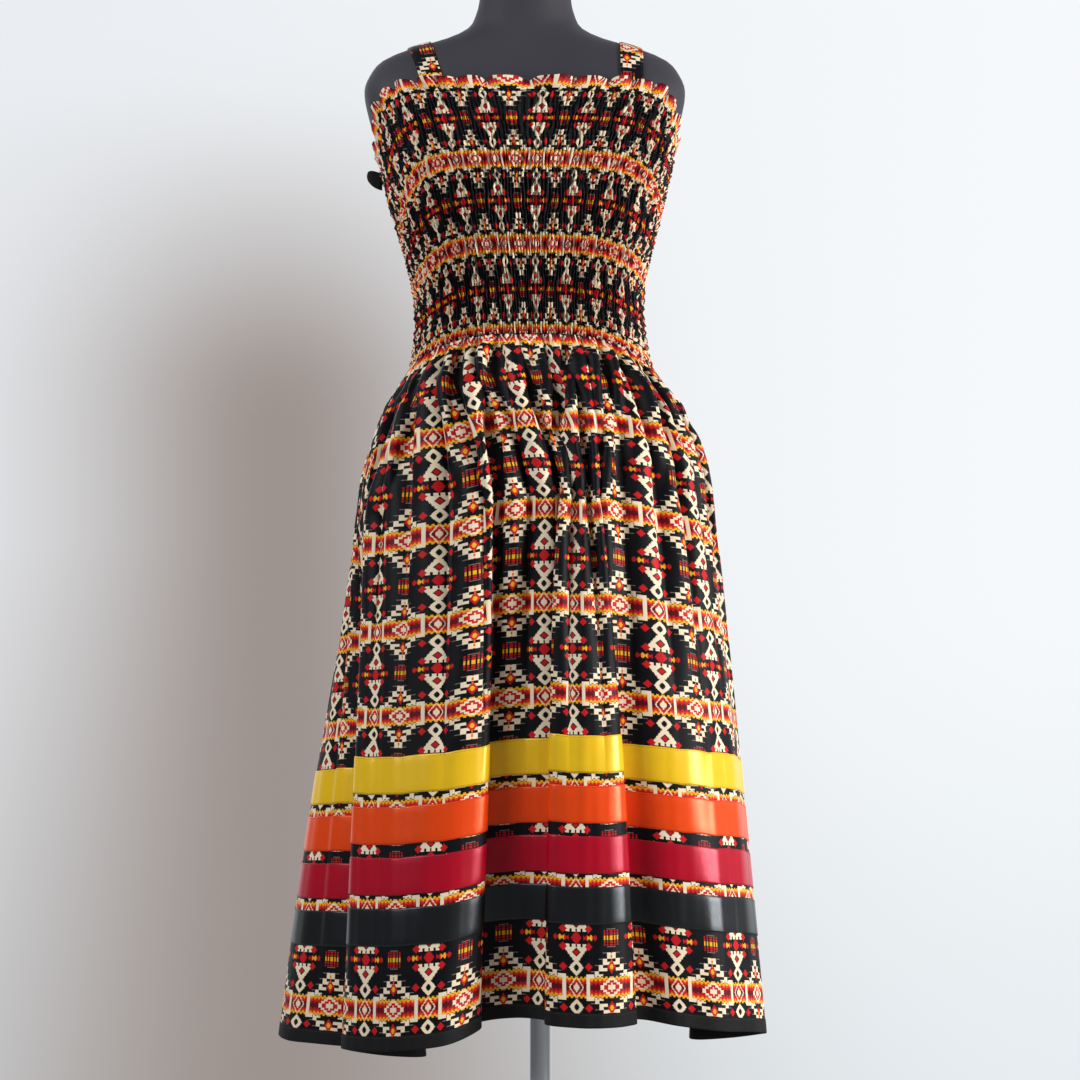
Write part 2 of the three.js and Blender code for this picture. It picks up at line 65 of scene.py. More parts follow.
class Panel(Enum):
    """The two halves that the bodice and the skirt are cut in."""

    FRONT = "front"
    BACK = "back"

    @property
    def start(self) -> float:
        """Angle of the panel's first seam, in degrees from the front."""
        return -90.0 if self is Panel.FRONT else 90.0


class Side(Enum):
    """The two sides of the dress, as the viewer sees them."""

    LEFT = "left"
    RIGHT = "right"


# Curves and unevenness


class Profile:
    """A smooth curve through the rows of a table."""

    def __init__(self, keys: Sequence[float], values: Sequence[float]) -> None:
        """Takes the rising keys of the rows and their values."""
        self.keys = np.asarray(keys, float)
        self.values = np.asarray(values, float)
        lower = np.maximum(np.arange(len(self.keys)) - 1, 0)
        upper = np.minimum(np.arange(len(self.keys)) + 1, len(self.keys) - 1)
        rise = self.values[upper] - self.values[lower]
        self.slopes = rise / (self.keys[upper] - self.keys[lower])

    def __call__(self, at: Union[float, Array]) -> Array:
        """Gives the curve's values at the given places.

        Args:
            at: Places along the keys.
        Returns:
            The values there.
        """
        at = np.asarray(at, float)
        i = np.clip(np.searchsorted(self.keys, at, side="left") - 1, 0, len(self.keys) - 2)
        span = self.keys[i + 1] - self.keys[i]
        t = np.clip((at - self.keys[i]) / span, 0, 1)
        bend = t * t * (3 - 2 * t)
        leave = t * (1 - t) ** 2 * span * self.slopes[i]
        arrive = t * t * (t - 1) * span * self.slopes[i + 1]
        return self.values[i] * (1 - bend) + self.values[i + 1] * bend + leave + arrive


class Unevenness:
    """A smooth and repeatable random height over two directions, from -1 to 1."""

    def __init__(self, seed: int, across: int, along: int) -> None:
        """Takes the seed and the number of lumps in each direction."""
        self.size = (across, along)
        self.grid = np.random.default_rng(seed).uniform(-1, 1, (across + 2, along + 2))

    def __call__(self, across: Array, along: Array) -> Array:
        """Gives the height at shares from 0 to 1 of both directions.

        Args:
            across: Share of the first direction.
            along: Share of the second direction.
        Returns:
            Heights of the broadcast shape.
        """
        places = []
        for share, count in zip((across, along), self.size):
            at = np.clip(np.asarray(share, float), 0, 1) * count
            low = np.floor(at).astype(int)
            part = at - low
            places.append((low, part * part * part * (part * (6 * part - 15) + 10)))
        (i, s), (j, t) = places
        near = self.grid[i, j] * (1 - s) + self.grid[i + 1, j] * s
        far = self.grid[i, j + 1] * (1 - s) + self.grid[i + 1, j + 1] * s
        return near * (1 - t) + far * t


def oval(half: Array, front: Array, back: Array, square: Array,
         angle: Array, height: Array) -> Array:
    """Gives points on ovals of the given sections.

    Args:
        half: Half width.
        front: Depth in front.
        back: Depth behind.
        square: How square the oval is, 2 for an ellipse.
        angle: Angle from the front, in radians.
        height: Height of each point.
    Returns:
        Points, with x, y and z in the last axis.
    """
    side, ahead = np.sin(angle), np.cos(angle)
    power = 2 / square
    x = np.sign(side) * half * np.abs(side) ** power
    y = -np.sign(ahead) * np.where(ahead > 0, front, back) * np.abs(ahead) ** power
    return np.stack(np.broadcast_arrays(x, y, height), -1)


MIDDLE_LINE = Profile((0, 300, 890, 1068, 1205, 1345, 1500), (0, 0, -4, -11, -15, -17, -16))


def leaned(points: Array) -> Array:
    """Moves points with the middle line of the form and turns millimetres into metres."""
    moved = points.copy()
    moved[..., 0] += MIDDLE_LINE(points[..., 2])
    return moved * METRE


def normals_of(grid: Array, closed: bool = False) -> Array:
    """Gives the outward normals of a grid whose rows go down and whose columns go to the right.

    Args:
        grid: Points by row and column.
        closed: Whether the last column comes before the first one.
    Returns:
        Unit normals by row and column.
    """
    if closed:
        across = np.roll(grid, -1, 1) - np.roll(grid, 1, 1)
    else:
        across = np.gradient(grid, axis=1)
    down = np.gradient(grid, axis=0)
    normal = np.cross(down, across)
    return normal / np.maximum(np.linalg.norm(normal, axis=-1, keepdims=True), 1e-9)


def curves_of(rows: Sequence[tuple], names: Sequence[str], keys: Sequence[float]) -> dict:
    """Draws a smooth curve through each named column of a table."""
    return {name: Profile(keys, column) for name, column in zip(names, zip(*rows))}


def lengths(line: Array) -> Array:
    """The way along a line of points, up to each of them."""
    return np.concatenate([[0], np.cumsum(np.linalg.norm(np.diff(line, axis=0), axis=1))])


def run_ahead(gaps: Array, share: Array, reach: int) -> Array:
    """How far cloth of uneven gaps runs ahead of its even share, apart from a slow drift.

    Args:
        gaps: Lengths from column to column, by row.
        share: The even share of each column.
        reach: How many columns to each side the slow drift is taken over.
    Returns:
        Shares of the row's length, by row and column.
    """
    along = np.concatenate([np.zeros((len(gaps), 1)), np.cumsum(gaps, 1)], 1)
    ahead = along / along[:, -1:] - share
    window = np.ones(2 * reach + 1) / (2 * reach + 1)
    padded = np.pad(ahead, ((0, 0), (reach, reach)), "edge")
    return ahead - np.stack([np.convolve(row, window, "valid") for row in padded])


# Meshes


class Mesher:
    """Makes mesh objects from grids of points."""

    @staticmethod
    def piece(name: str, points: Array, faces: list, smooth: Array,
              cloth: Optional[Array], material: bpy.types.Material) -> bpy.types.Object:
        """Makes an object of one mesh.

        Args:
            name: The object's name.
            points: Points in metres.
            faces: Tuples of point numbers.
            smooth: Whether each face is shaded smooth.
            cloth: Place of each point on the flat cloth, in metres, or None.
            material: The finish.
        Returns:
            The new object, linked to the scene.
        """
        mesh = bpy.data.meshes.new(name)
        mesh.from_pydata(points.reshape(-1, 3).tolist(), [], faces)
        mesh.polygons.foreach_set("use_smooth", smooth)
        if cloth is not None:
            corners = np.empty(len(mesh.loops), np.int64)
            mesh.loops.foreach_get("vertex_index", corners)
            layer = mesh.uv_layers.new(name="cloth")
            layer.data.foreach_set("uv", cloth.reshape(-1, 2)[corners].ravel())
        mesh.materials.append(material)
        mesh.update()
        obj = bpy.data.objects.new(name, mesh)
        bpy.context.scene.collection.objects.link(obj)
        return obj

    @staticmethod
    def shell(name: str, outer: Array, inner: Array, cloth: Array,
              material: bpy.types.Material, step: int = 2) -> bpy.types.Object:
        """Makes a closed thin wall between an outer grid and an inner grid.

        Args:
            name: The object's name.
            outer: Outer points in metres by row, from the top, and column, to the right.
            inner: Inner points of the same grid, of which each step-th one is used.
            cloth: Place of each point on the flat cloth, in metres.
            material: The finish.
            step: How many outer steps make one inner step.
        Returns:
            The new object.
        """
        rows, columns = outer.shape[:2]
        lining = inner[::step, ::step]
        o = np.arange(rows * columns).reshape(rows, columns)
        i = rows * columns + np.arange(lining.shape[0] * lining.shape[1]).reshape(lining.shape[:2])
        front = np.stack([o[:-1, :-1], o[1:, :-1], o[1:, 1:], o[:-1, 1:]], -1).reshape(-1, 4)
        rear = np.stack([i[:-1, :-1], i[:-1, 1:], i[1:, 1:], i[1:, :-1]], -1).reshape(-1, 4)
        faces = front.tolist() + rear.tolist()
        count = len(faces)
        for outer_line, inner_line, turned in ((o[0], i[0], False), (o[-1], i[-1], True),
                                               (o[:, 0], i[:, 0], True), (o[:, -1], i[:, -1], False)):
            for k in range(len(inner_line) - 1):
                ring = outer_line[k * step:(k + 1) * step + 1].tolist()
                ring += [int(inner_line[k + 1]), int(inner_line[k])]
                faces.append(ring[::-1] if turned else ring)
        smooth = np.zeros(len(faces), bool)
        smooth[:count] = True
        points = np.concatenate([outer.reshape(-1, 3), lining.reshape(-1, 3)])
        places = np.concatenate([cloth.reshape(-1, 2), cloth[::step, ::step].reshape(-1, 2)])
        return Mesher.piece(name, points, faces, smooth, places, material)

    @staticmethod
    def turned(name: str, rings: Array, material: bpy.types.Material) -> bpy.types.Object:
        """Makes a closed body from rings of points one above the other, from its bottom.

        Args:
            name: The object's name.
            rings: Points in metres by ring and place round it.
            material: The finish.
        Returns:
            The new object.
        """
        levels, around = rings.shape[:2]
        n = np.arange(levels * around).reshape(levels, around)
        after = np.roll(n, -1, 1)
        walls = np.stack([n[:-1], after[:-1], after[1:], n[1:]], -1).reshape(-1, 4).tolist()
        caps = [n[0][::-1].tolist(), n[-1].tolist()]
        smooth = np.ones(len(walls) + 2, bool)
        smooth[-2:] = False
        return Mesher.piece(name, rings, walls + caps, smooth, None, material)


def wear(piece: bpy.types.Object, node: str) -> None:
    """Puts a piece on the part's one body in place of a solid."""
    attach(piece, "root")
    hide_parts(node)


# Shader maths


class Value:
    """A number in a material's nodes, so that sums on it read as plain maths."""

    def __init__(self, nodes: "Nodes", socket: bpy.types.NodeSocket) -> None:
        """Wraps a socket of a node tree."""
        self.nodes = nodes
        self.socket = socket

    def _sum(self, operation: str, *others: "Number") -> "Value":
        """Adds a Math node that starts with this value."""
        return self.nodes.maths(operation, self, *others)

    def __add__(self, other: "Number") -> "Value":
        """Sum."""
        return self._sum("ADD", other)

    __radd__ = __add__

    def __sub__(self, other: "Number") -> "Value":
        """Difference."""
        return self._sum("SUBTRACT", other)

    def __rsub__(self, other: "Number") -> "Value":
        """Difference from a number."""
        return self.nodes.maths("SUBTRACT", other, self)

    def __mul__(self, other: "Number") -> "Value":
        """Product."""
        return self._sum("MULTIPLY", other)

    __rmul__ = __mul__

    def __truediv__(self, other: "Number") -> "Value":
        """Quotient."""
        return self._sum("DIVIDE", other)

    def __gt__(self, other: "Number") -> "Value":
        """1 where this is the greater one, and else 0."""
        return self._sum("GREATER_THAN", other)

    def __lt__(self, other: "Number") -> "Value":
        """1 where this is the smaller one, and else 0."""
        return self._sum("LESS_THAN", other)

    def __and__(self, other: "Value") -> "Value":
        """1 where both masks are 1."""
        return self._sum("MULTIPLY", other)

    def __or__(self, other: "Value") -> "Value":
        """1 where either mask is 1."""
        return self._sum("MAXIMUM", other)

    def floor(self) -> "Value":
        """Whole number below."""
        return self._sum("FLOOR")

    def fraction(self) -> "Value":
        """Part after the whole number."""
        return self._sum("FRACT")

    def size(self) -> "Value":
        """Value without its sign."""
        return self._sum("ABSOLUTE")

    def modulo(self, length: float) -> "Value":
        """Rest after whole lengths."""
        return self._sum("FLOORED_MODULO", length)

    def sine(self) -> "Value":
        """Sine of an angle in radians."""
        return self._sum("SINE")

    def wave(self, length: float) -> "Value":
        """Sine wave of a given length."""
        return (self * (2 * math.pi / length)).sine()

    def power(self, exponent: float) -> "Value":
        """Power of a positive value."""
        return self._sum("POWER", exponent)

    def between(self, low: "Number", high: "Number") -> "Value":
        """1 where the value is between two others."""
        return (self > low) & (self < high)


Number = Union[Value, float, int]
Colour = Union[tuple, bpy.types.NodeSocket]


class Nodes:
    """A node tree that is filled by Python expressions."""

    def __init__(self, tree: bpy.types.NodeTree) -> None:
        """Takes an empty tree."""
        self.tree = tree

    def node(self, kind: str, settings: Optional[dict] = None,
             sockets: Optional[dict] = None) -> bpy.types.Node:
        """Adds a node.

        Args:
            kind: The node's type.
            settings: Its settings by name, set first.
            sockets: Values or links of its inputs, by name or number.
        Returns:
            The node.
        """
        node = self.tree.nodes.new(kind)
        for name, value in (settings or {}).items():
            setattr(node, name, value)
        for name, value in (sockets or {}).items():
            target = node.inputs[name]
            if isinstance(value, Value):
                value = value.socket
            if isinstance(value, bpy.types.NodeSocket):
                self.tree.links.new(value, target)
            else:
                target.default_value = value
        return node

    def maths(self, operation: str, *values: Number) -> Value:
        """Adds a Math node on numbers or values."""
        node = self.node("ShaderNodeMath", {"operation": operation}, dict(enumerate(values)))
        return Value(self, node.outputs[0])

    def mix(self, share: Number, first: Colour, second: Colour) -> bpy.types.NodeSocket:
        """Mixes two colours.

        Args:
            share: 0 for the first colour and 1 for the second.
            first: A colour or its socket.
            second: A colour or its socket.
        Returns:
            The mixed colour's socket.
        """
        whole = [(*c, 1.0) if isinstance(c, tuple) and len(c) == 3 else c for c in (first, second)]
        node = self.node("ShaderNodeMix", {"data_type": "RGBA"}, {0: share, 6: whole[0], 7: whole[1]})
        return node.outputs[2]

    def noise(self, place: bpy.types.NodeSocket, scale: float, detail: float = 2.0,
              rough: float = 0.5) -> Value:
        """Noise from 0 to 1 at a place."""
        node = self.node("ShaderNodeTexNoise", {}, {
            "Vector": place, "Scale": scale, "Detail": detail, "Roughness": rough})
        return Value(self, node.outputs[0])

    def parts(self, vector: bpy.types.NodeSocket) -> tuple:
        """The three values of a vector."""
        split = self.node("ShaderNodeSeparateXYZ", {}, {0: vector})
        return tuple(Value(self, socket) for socket in split.outputs)

    def cloth(self) -> tuple:
        """The place on the flat cloth: its two values, in metres, and the whole vector's socket."""
        place = self.node("ShaderNodeUVMap", {"uv_map": "cloth"}).outputs[0]
        return (*self.parts(place)[:2], place)

    def place(self, kind: str = "Object") -> bpy.types.NodeSocket:
        """The place in the part's frame, in metres, or another kind of place."""
        return self.node("ShaderNodeTexCoord").outputs[kind]

    def bump(self, height: Value, distance: float, strength: float) -> bpy.types.NodeSocket:
        """Turns a height into a normal."""
        sockets = {"Height": height, "Distance": distance, "Strength": strength}
        return self.node("ShaderNodeBump", {}, sockets).outputs[0]


def linear(red: int, green: int, blue: int) -> tuple:
    """Turns a colour of 0 to 255, as a screen shows it, into scene values."""
    def one(level: int) -> float:
        share = level / 255
        return share / 12.92 if share <= 0.04045 else ((share + 0.055) / 1.055) ** 2.4
    return one(red), one(green), one(blue)


@dataclass(frozen=True)
class Finish:
    """What every finish has: its name, and a material made from its own nodes."""

    name: str

    def material(self) -> bpy.types.Material:
        """Builds the material."""
        material = bpy.data.materials.new(self.name)
        material.use_nodes = True
        material.node_tree.nodes.clear()
        nodes = Nodes(material.node_tree)
        shader = nodes.node("ShaderNodeBsdfPrincipled", {}, self.sockets(nodes))
        nodes.node("ShaderNodeOutputMaterial", {}, {"Surface": shader.outputs[0]})
        return material

    def sockets(self, nodes: Nodes) -> dict:
        """Gives the values of the shader's sockets by name; each finish has its own."""
        raise NotImplementedError


@dataclass(frozen=True)
class PrintedCotton(Finish):
    """Plain-weave cotton with a stepped lozenge print on a black ground.

    A glowing band runs along the middle of the repeat, and the print is the same to both sides of
    the band and of the lozenge's middle.
    """

    repeat: tuple = (0.080, 0.0995)
    cells: tuple = (50, 64)
    first_band: float = 0.041
    shift: float = 0.0
    thread: float = 0.00045
    ground: tuple = linear(4, 5, 9)
    cream: tuple = linear(234, 216, 186)
    gold: tuple = linear(238, 172, 28)
    orange: tuple = linear(222, 88, 22)
    red: tuple = linear(190, 22, 26)
    wine: tuple = linear(92, 8, 20)
    pale: tuple = linear(120, 112, 100)

    def sockets(self, nodes: Nodes) -> dict:
        """Prints the pattern and weaves the cloth."""
        u, v, place = nodes.cloth()
        across = ((u / self.repeat[0] + self.shift).fraction() - 0.5) * self.cells[0]
        above = (((v - self.first_band) / self.repeat[1] + 0.5).fraction() - 0.5) * self.cells[1]
        a, b = ((way.size() * 2).floor() / 2 for way in (across, above))
        colour = self.ground
        for mask, paint in self.figures(a, b, 24 - a, 31 - b):
            colour = nodes.mix(mask, colour, paint)
        worn = nodes.noise(place, 60, 3)
        weave = u.wave(self.thread) * v.wave(self.thread)
        return {
            "Base Color": nodes.mix(worn * 0.03, colour, linear(96, 98, 110)),
            "Roughness": 0.44 + worn * 0.14,
            "Normal": nodes.bump(weave * 0.5 + worn, 0.00006, 0.5),
            "Specular IOR Level": 0.12,
            "Sheen Weight": 0.02,
            "Sheen Roughness": 0.35,
            "Sheen Tint": (*linear(196, 208, 232), 1.0),
        }

    def figures(self, a: Value, b: Value, c: Value, e: Value) -> list:
        """Gives the masks of the print's figures and their colours, from the lowest layer up.

        Args:
            a: Cells from the lozenge's middle.
            b: Cells from the band's middle.
            c: Cells from the side of the repeat.
            e: Cells from the middle between two bands.
        Returns:
            Pairs of a mask and a colour.
        """
        stairs = (a / 3).floor() * 4 + ((b + 1.5) / 4).floor() * 4
        riser = (b + 1.5).modulo(4)
        core = a * 1.5 + (b - 13).size()
        mast = (a < 0.5) & b.between(15.5, 22.5)
        tree = (c < e.floor() * -0.74 + 11.2) & e.between(3.2, 14.8)
        window = c * 1.1 + (e - 8.5).size() < 2.4
        notch = (c.modulo(4) > 2.4) & (e < 5.4) & (c < 10)
        halo = c * 1.15 + (e - 18.5).size()
        teeth = ((c.modulo(3) - 1.2).size() + e < 1.3) & c.between(4.4, 14.4)
        dots = (a < 5.6) & (a.modulo(2) < 0.9) & (e < 4.4) & ((e + 0.5).modulo(2) < 1.2)
        steps = b + (a.modulo(3) > 1.2) * 0.9
        flank = a.between(12.4, 17.6) & (b < 8.4)
        eye = a * 1.2 + (b / 1.5).floor() * 2.4
        gate = c * 1.4 + b
        return [
            (stairs.between(19, 21) | stairs.between(15, 17) & (riser < 1.9), self.cream),
            (stairs.between(23, 25) & (riser > 2.6) & (b.modulo(1) < 0.4), self.pale),
            (core < 4.2, self.red),
            (core < 1.8, self.gold),
            (mast & (b.modulo(3) > 0.5), self.orange),
            (tree & (1 - window) & (1 - notch), self.cream),
            (c + (e - 8.5).size() < 1.1, self.red),
            ((halo < 5.0) & (1 - (halo < 1.6)), self.cream),
            ((a - 16).size() + (b - 26).size() < 2.6, self.red),
            ((c - 8).size() + (e - 18).size() < 2.6, self.red),
            (teeth, self.red),
            (teeth & c.between(7.4, 11.0), self.gold),
            (dots, self.red),
            (dots & (e < 1.4), self.gold),
            (c * 1.1 + e < 2.7, self.red),
            (steps < 7.4, self.ground),
            (steps < 6.6, self.gold),
            (steps < 5.4, self.orange),
            (steps < 4.2, self.red),
            (steps < 2.2, self.wine),
            (flank & (b.between(5.9, 8.4) | a.between(15.4, 17.6)), self.cream),
            ((eye < 9.6) & (b < 5.9), self.cream),
            (eye < 6.2, self.red),
            (eye < 2.9, self.cream),
            (gate.between(4.8, 6.0) & (b < 5.9), self.cream),
            (gate < 2.0, self.cream),
        ]


@dataclass(frozen=True)
class Satin(Finish):
    """Woven satin ribbon, with a soft lustre along its length."""

    colour: tuple = (0.8, 0.8, 0.8)
    deep: tuple = (0.5, 0.5, 0.5)
    lustre: tuple = (1.0, 1.0, 1.0)
    silk: float = 0.10
    edges: tuple = (0.0010, 0.0370)

    def sockets(self, nodes: Nodes) -> dict:
        """Gives the ribbon its dye, its fine cross threads and its lustre."""
        _, v, place = nodes.cloth()
        streak = nodes.noise(place, 45, 2)
        edge = (v < self.edges[0]) | (v > self.edges[1])
        shade = nodes.mix(streak * 0.45, self.colour, self.deep)
        return {
            "Base Color": nodes.mix(edge * 0.35, shade, self.deep),
            "Roughness": 0.27 + streak * 0.07 + edge * 0.2,
            "Normal": nodes.bump(v.wave(0.0005) * 0.4 + streak * 3, 0.00005, 0.5),
            "Metallic": self.silk,
            "Specular IOR Level": 0.55,
            "Specular Tint": (*self.lustre, 1.0),
        }


@dataclass(frozen=True)
class Jersey(Finish):
    """Charcoal stretch jersey over the padded form."""

    colour: tuple = linear(40, 38, 46)
    faded: tuple = linear(58, 57, 66)

    def sockets(self, nodes: Nodes) -> dict:
        """Gives the jersey its fine knit."""
        place = nodes.place()
        x, _, z = nodes.parts(place)
        patch = nodes.noise(place, 14, 4)
        return {
            "Base Color": nodes.mix(patch * 0.5, self.colour, self.faded),
            "Roughness": 0.62 + patch * 0.2,
            "Normal": nodes.bump((x.wave(0.0008) + z.wave(0.0007)) * 0.3 + patch, 0.0001, 0.5),
            "Sheen Weight": 0.06,
            "Sheen Roughness": 0.5,
            "Sheen Tint": (*linear(150, 152, 170), 1.0),
        }


@dataclass(frozen=True)
class Steel(Finish):
    """Bright or brushed steel."""

    roughness: float = 0.1
    brushed: float = 0.0

    def sockets(self, nodes: Nodes) -> dict:
        """Gives the steel its faint brushing and handling marks."""
        place = nodes.place()
        marks = nodes.noise(place, 30, 5, 0.6)
        drawn = nodes.node("ShaderNodeMapping", {}, {"Vector": place, "Scale": (900, 900, 30)})
        fine = nodes.noise(drawn.outputs[0], 1, 2)
        return {
            "Base Color": nodes.mix(marks * 0.4, linear(206, 208, 212), linear(176, 179, 186)),
            "Metallic": 1.0,
            "Roughness": self.roughness + marks * 0.08 + fine * self.brushed,
            "Normal": nodes.bump(fine, 0.00003, 0.25 + self.brushed),
        }


@dataclass(frozen=True)
class Tape(Finish):
    """Matt black cotton tape, folded over the hem."""

    def sockets(self, nodes: Nodes) -> dict:
        """Gives the tape its twill."""
        u, v, place = nodes.cloth()
        dust = nodes.noise(place, 120, 3)
        return {
            "Base Color": nodes.mix(dust * 0.5, linear(9, 9, 11), linear(20, 20, 24)),
            "Roughness": 0.62 + dust * 0.16,
            "Normal": nodes.bump((u + v).wave(0.0009), 0.00008, 0.6),
            "Specular IOR Level": 0.22,
        }


@dataclass(frozen=True)
class Thread(Finish):
    """Twisted sewing thread."""

    colour: tuple = linear(58, 40, 30)

    def sockets(self, nodes: Nodes) -> dict:
        """Gives the thread its twist."""
        twist = nodes.noise(nodes.place(), 2500, 1)
        return {
            "Base Color": nodes.mix(twist * 0.6, self.colour, linear(20, 16, 14)),
            "Roughness": 0.6,
            "Normal": nodes.bump(twist, 0.0001, 0.5),
        }


class Wardrobe:
    """All the materials, each made once."""

    def __init__(self) -> None:
        """Makes the materials."""
        self.print_front = PrintedCotton("printed_cotton_front").material()
        self.print_back = PrintedCotton("printed_cotton_back", shift=0.43).material()
        self.jersey = Jersey("jersey_charcoal").material()
        self.chrome = Steel("steel_polished", 0.08, 0.0).material()
        self.brushed = Steel("steel_brushed", 0.2, 0.18).material()
        self.tape = Tape("hem_tape_black").material()
        self.thread = Thread("thread_dark").material()
        self.satin = {name: Satin(f"satin_{name}", *dye).material() for name, *dye in (
            ("yellow", linear(240, 196, 24), linear(214, 160, 10), (1.0, 0.96, 0.76)),
            ("orange", linear(236, 74, 16), linear(206, 46, 8), (1.0, 0.72, 0.46)),
            ("red", linear(182, 6, 36), linear(128, 2, 20), (1.0, 0.50, 0.60)),
            ("black", linear(9, 10, 12), linear(5, 5, 7), (0.86, 0.93, 1.0), 0.0))}

    def printed(self, panel: Panel) -> bpy.types.Material:
        """The printed cotton of a panel; the back is cut from another place of the cloth."""
        return self.print_front if panel is Panel.FRONT else self.print_back


# Stitches


@dataclass
class Stitching:
    """Machine stitches, laid by Geometry Nodes on points along each seam, with sizes in metres."""

    length: float = 0.0021
    thickness: float = 0.00042
    pitch: float = 0.0028
    uneven: float = 0.12
    seed: int = 5
    places: list = field(default_factory=list)

    def follow(self, line: Array, normal: Array) -> None:
        """Adds a seam.

        Args:
            line: Points along the seam, in metres.
            normal: Outward normals there.
        """
        along = lengths(line)
        at = np.arange(self.pitch / 2, along[-1], self.pitch)

        def found(rows: Array, places: Array) -> Array:
            """The rows' values at places along the seam."""
            return np.stack([np.interp(places, along, rows[:, k]) for k in range(3)], -1)

        ahead = found(line, at + 0.001) - found(line, at - 0.001)
        self.places.append((found(line, at), ahead, found(normal, at)))

    @staticmethod
    def tree() -> bpy.types.NodeTree:
        """Builds the node tree that lays one thread on each point."""
        tree = bpy.data.node_groups.new("stitches", "GeometryNodeTree")
        for name, kind in (("Geometry", "Geometry"), ("Length", "Float"), ("Thickness", "Float"),
                           ("Uneven", "Float"), ("Seed", "Int"), ("Thread", "Material")):
            tree.interface.new_socket(name, in_out="INPUT", socket_type=f"NodeSocket{kind}")
        tree.interface.new_socket("Geometry", in_out="OUTPUT", socket_type="NodeSocketGeometry")
        nodes = Nodes(tree)
        given = nodes.node("NodeGroupInput").outputs
        along, out = (nodes.node("GeometryNodeInputNamedAttribute", {"data_type": "FLOAT_VECTOR"},
                                 {"Name": name}).outputs[0] for name in ("along", "out"))
        lie = nodes.node("FunctionNodeAlignRotationToVector", {"axis": "X"}, {"Vector": along})
        face = nodes.node("FunctionNodeAlignRotationToVector", {"axis": "Z", "pivot_axis": "X"}, {
            "Rotation": lie.outputs[0], "Vector": out})
        uneven = Value(nodes, given["Uneven"])
        share = nodes.node("FunctionNodeRandomValue", {"data_type": "FLOAT"}, {
            2: 1 - uneven, 3: 1 + uneven, "Seed": given["Seed"]})
        size = nodes.node("ShaderNodeCombineXYZ", {}, {
            0: Value(nodes, given["Length"]) * Value(nodes, share.outputs[1]),
            1: given["Thickness"], 2: given["Thickness"]})
        ball = nodes.node("GeometryNodeMeshIcoSphere", {}, {"Radius": 0.5, "Subdivisions": 1})
        laid = nodes.node("GeometryNodeInstanceOnPoints", {}, {
            "Points": given["Geometry"], "Instance": ball.outputs[0],
            "Rotation": face.outputs[0], "Scale": size.outputs[0]})
        real = nodes.node("GeometryNodeRealizeInstances", {}, {0: laid.outputs[0]})
        dressed = nodes.node("GeometryNodeSetMaterial", {}, {
            "Geometry": real.outputs[0], "Material": given["Thread"]})
        nodes.node("NodeGroupOutput", {}, {0: dressed.outputs[0]})
        return tree

    def sew(self, name: str, thread: bpy.types.Material) -> bpy.types.Object:
        """Lays all the stitches and turns them into one plain mesh.

        Args:
            name: The new object's name.
            thread: The thread's finish.
        Returns:
            The object with every stitch.
        """
        spots, along, out = (np.concatenate(rows) for rows in zip(*self.places))
        mesh = bpy.data.meshes.new("stitch_points")
        mesh.from_pydata(spots.tolist(), [], [])
        for title, rows in (("along", along), ("out", out)):
            mesh.attributes.new(title, "FLOAT_VECTOR", "POINT").data.foreach_set("vector", rows.ravel())
        carrier = bpy.data.objects.new("stitch_points", mesh)
        bpy.context.scene.collection.objects.link(carrier)
        modifier = carrier.modifiers.new("stitches", "NODES")
        modifier.node_group = self.tree()
        given = {"Length": self.length, "Thickness": self.thickness, "Uneven": self.uneven,
                 "Seed": self.seed, "Thread": thread}
        for item in modifier.node_group.interface.items_tree:
            if item.in_out == "INPUT" and item.name in given:
                modifier[item.identifier] = given[item.name]
        bpy.context.view_layer.update()
        done = carrier.evaluated_get(bpy.context.evaluated_depsgraph_get())
        plain = bpy.data.meshes.new_from_object(done)
        plain.name = name
        obj = bpy.data.objects.new(name, plain)
        bpy.context.scene.collection.objects.link(obj)
        bpy.data.objects.remove(carrier)
        return obj


# Stand and form


@dataclass
class Stand:
    """The steel pole and the round base."""

    base_radius: float = 170.0
    base_thickness: float = 8.0
    base_bevel: float = 2.0
    pole_radius: float = 12.5
    form_bottom: float = 800.0
    gap: float = 0.3
    around: int = 96

    def turned(self, name: str, node: str, profile: Sequence[tuple], finish: bpy.types.Material) -> None:
        """Turns a profile round the pole's line.

        Args:
            name: The new object's name.
            node: The solid that it replaces.
            profile: Pairs of a radius and a height, from the bottom.
            finish: The material.
        """
        angle = np.arange(self.around) * (2 * math.pi / self.around)
        rings = [np.stack([r * np.cos(angle), r * np.sin(angle), np.full_like(angle, z)], -1)
                 for r, z in profile]
        wear(Mesher.turned(name, np.array(rings) * METRE, finish), node)

    def build(self, wardrobe: Wardrobe) -> None:
        """Makes the base and the pole."""
        r, t, b, p = self.base_radius, self.base_thickness, self.base_bevel, self.pole_radius
        bevel = [(r - b + b * math.sin(k), t - b + b * math.cos(k)) for k in np.linspace(math.pi / 2, 0, 6)]
        plate = [(r - 0.6, 0), (r, 0.6), *bevel, (r * 0.6, t), (14.0, t)]
        self.turned("round_base", "base_plate", plate, wardrobe.brushed)
        low, high = t + self.gap, self.form_bottom - self.gap
        tube = [(p - 0.4, low), (p, low + 0.4), *((p, z) for z in np.linspace(40, high - 40, 8)), (p, high)]
        self.turned("steel_pole", "pole", tube, wardrobe.chrome)


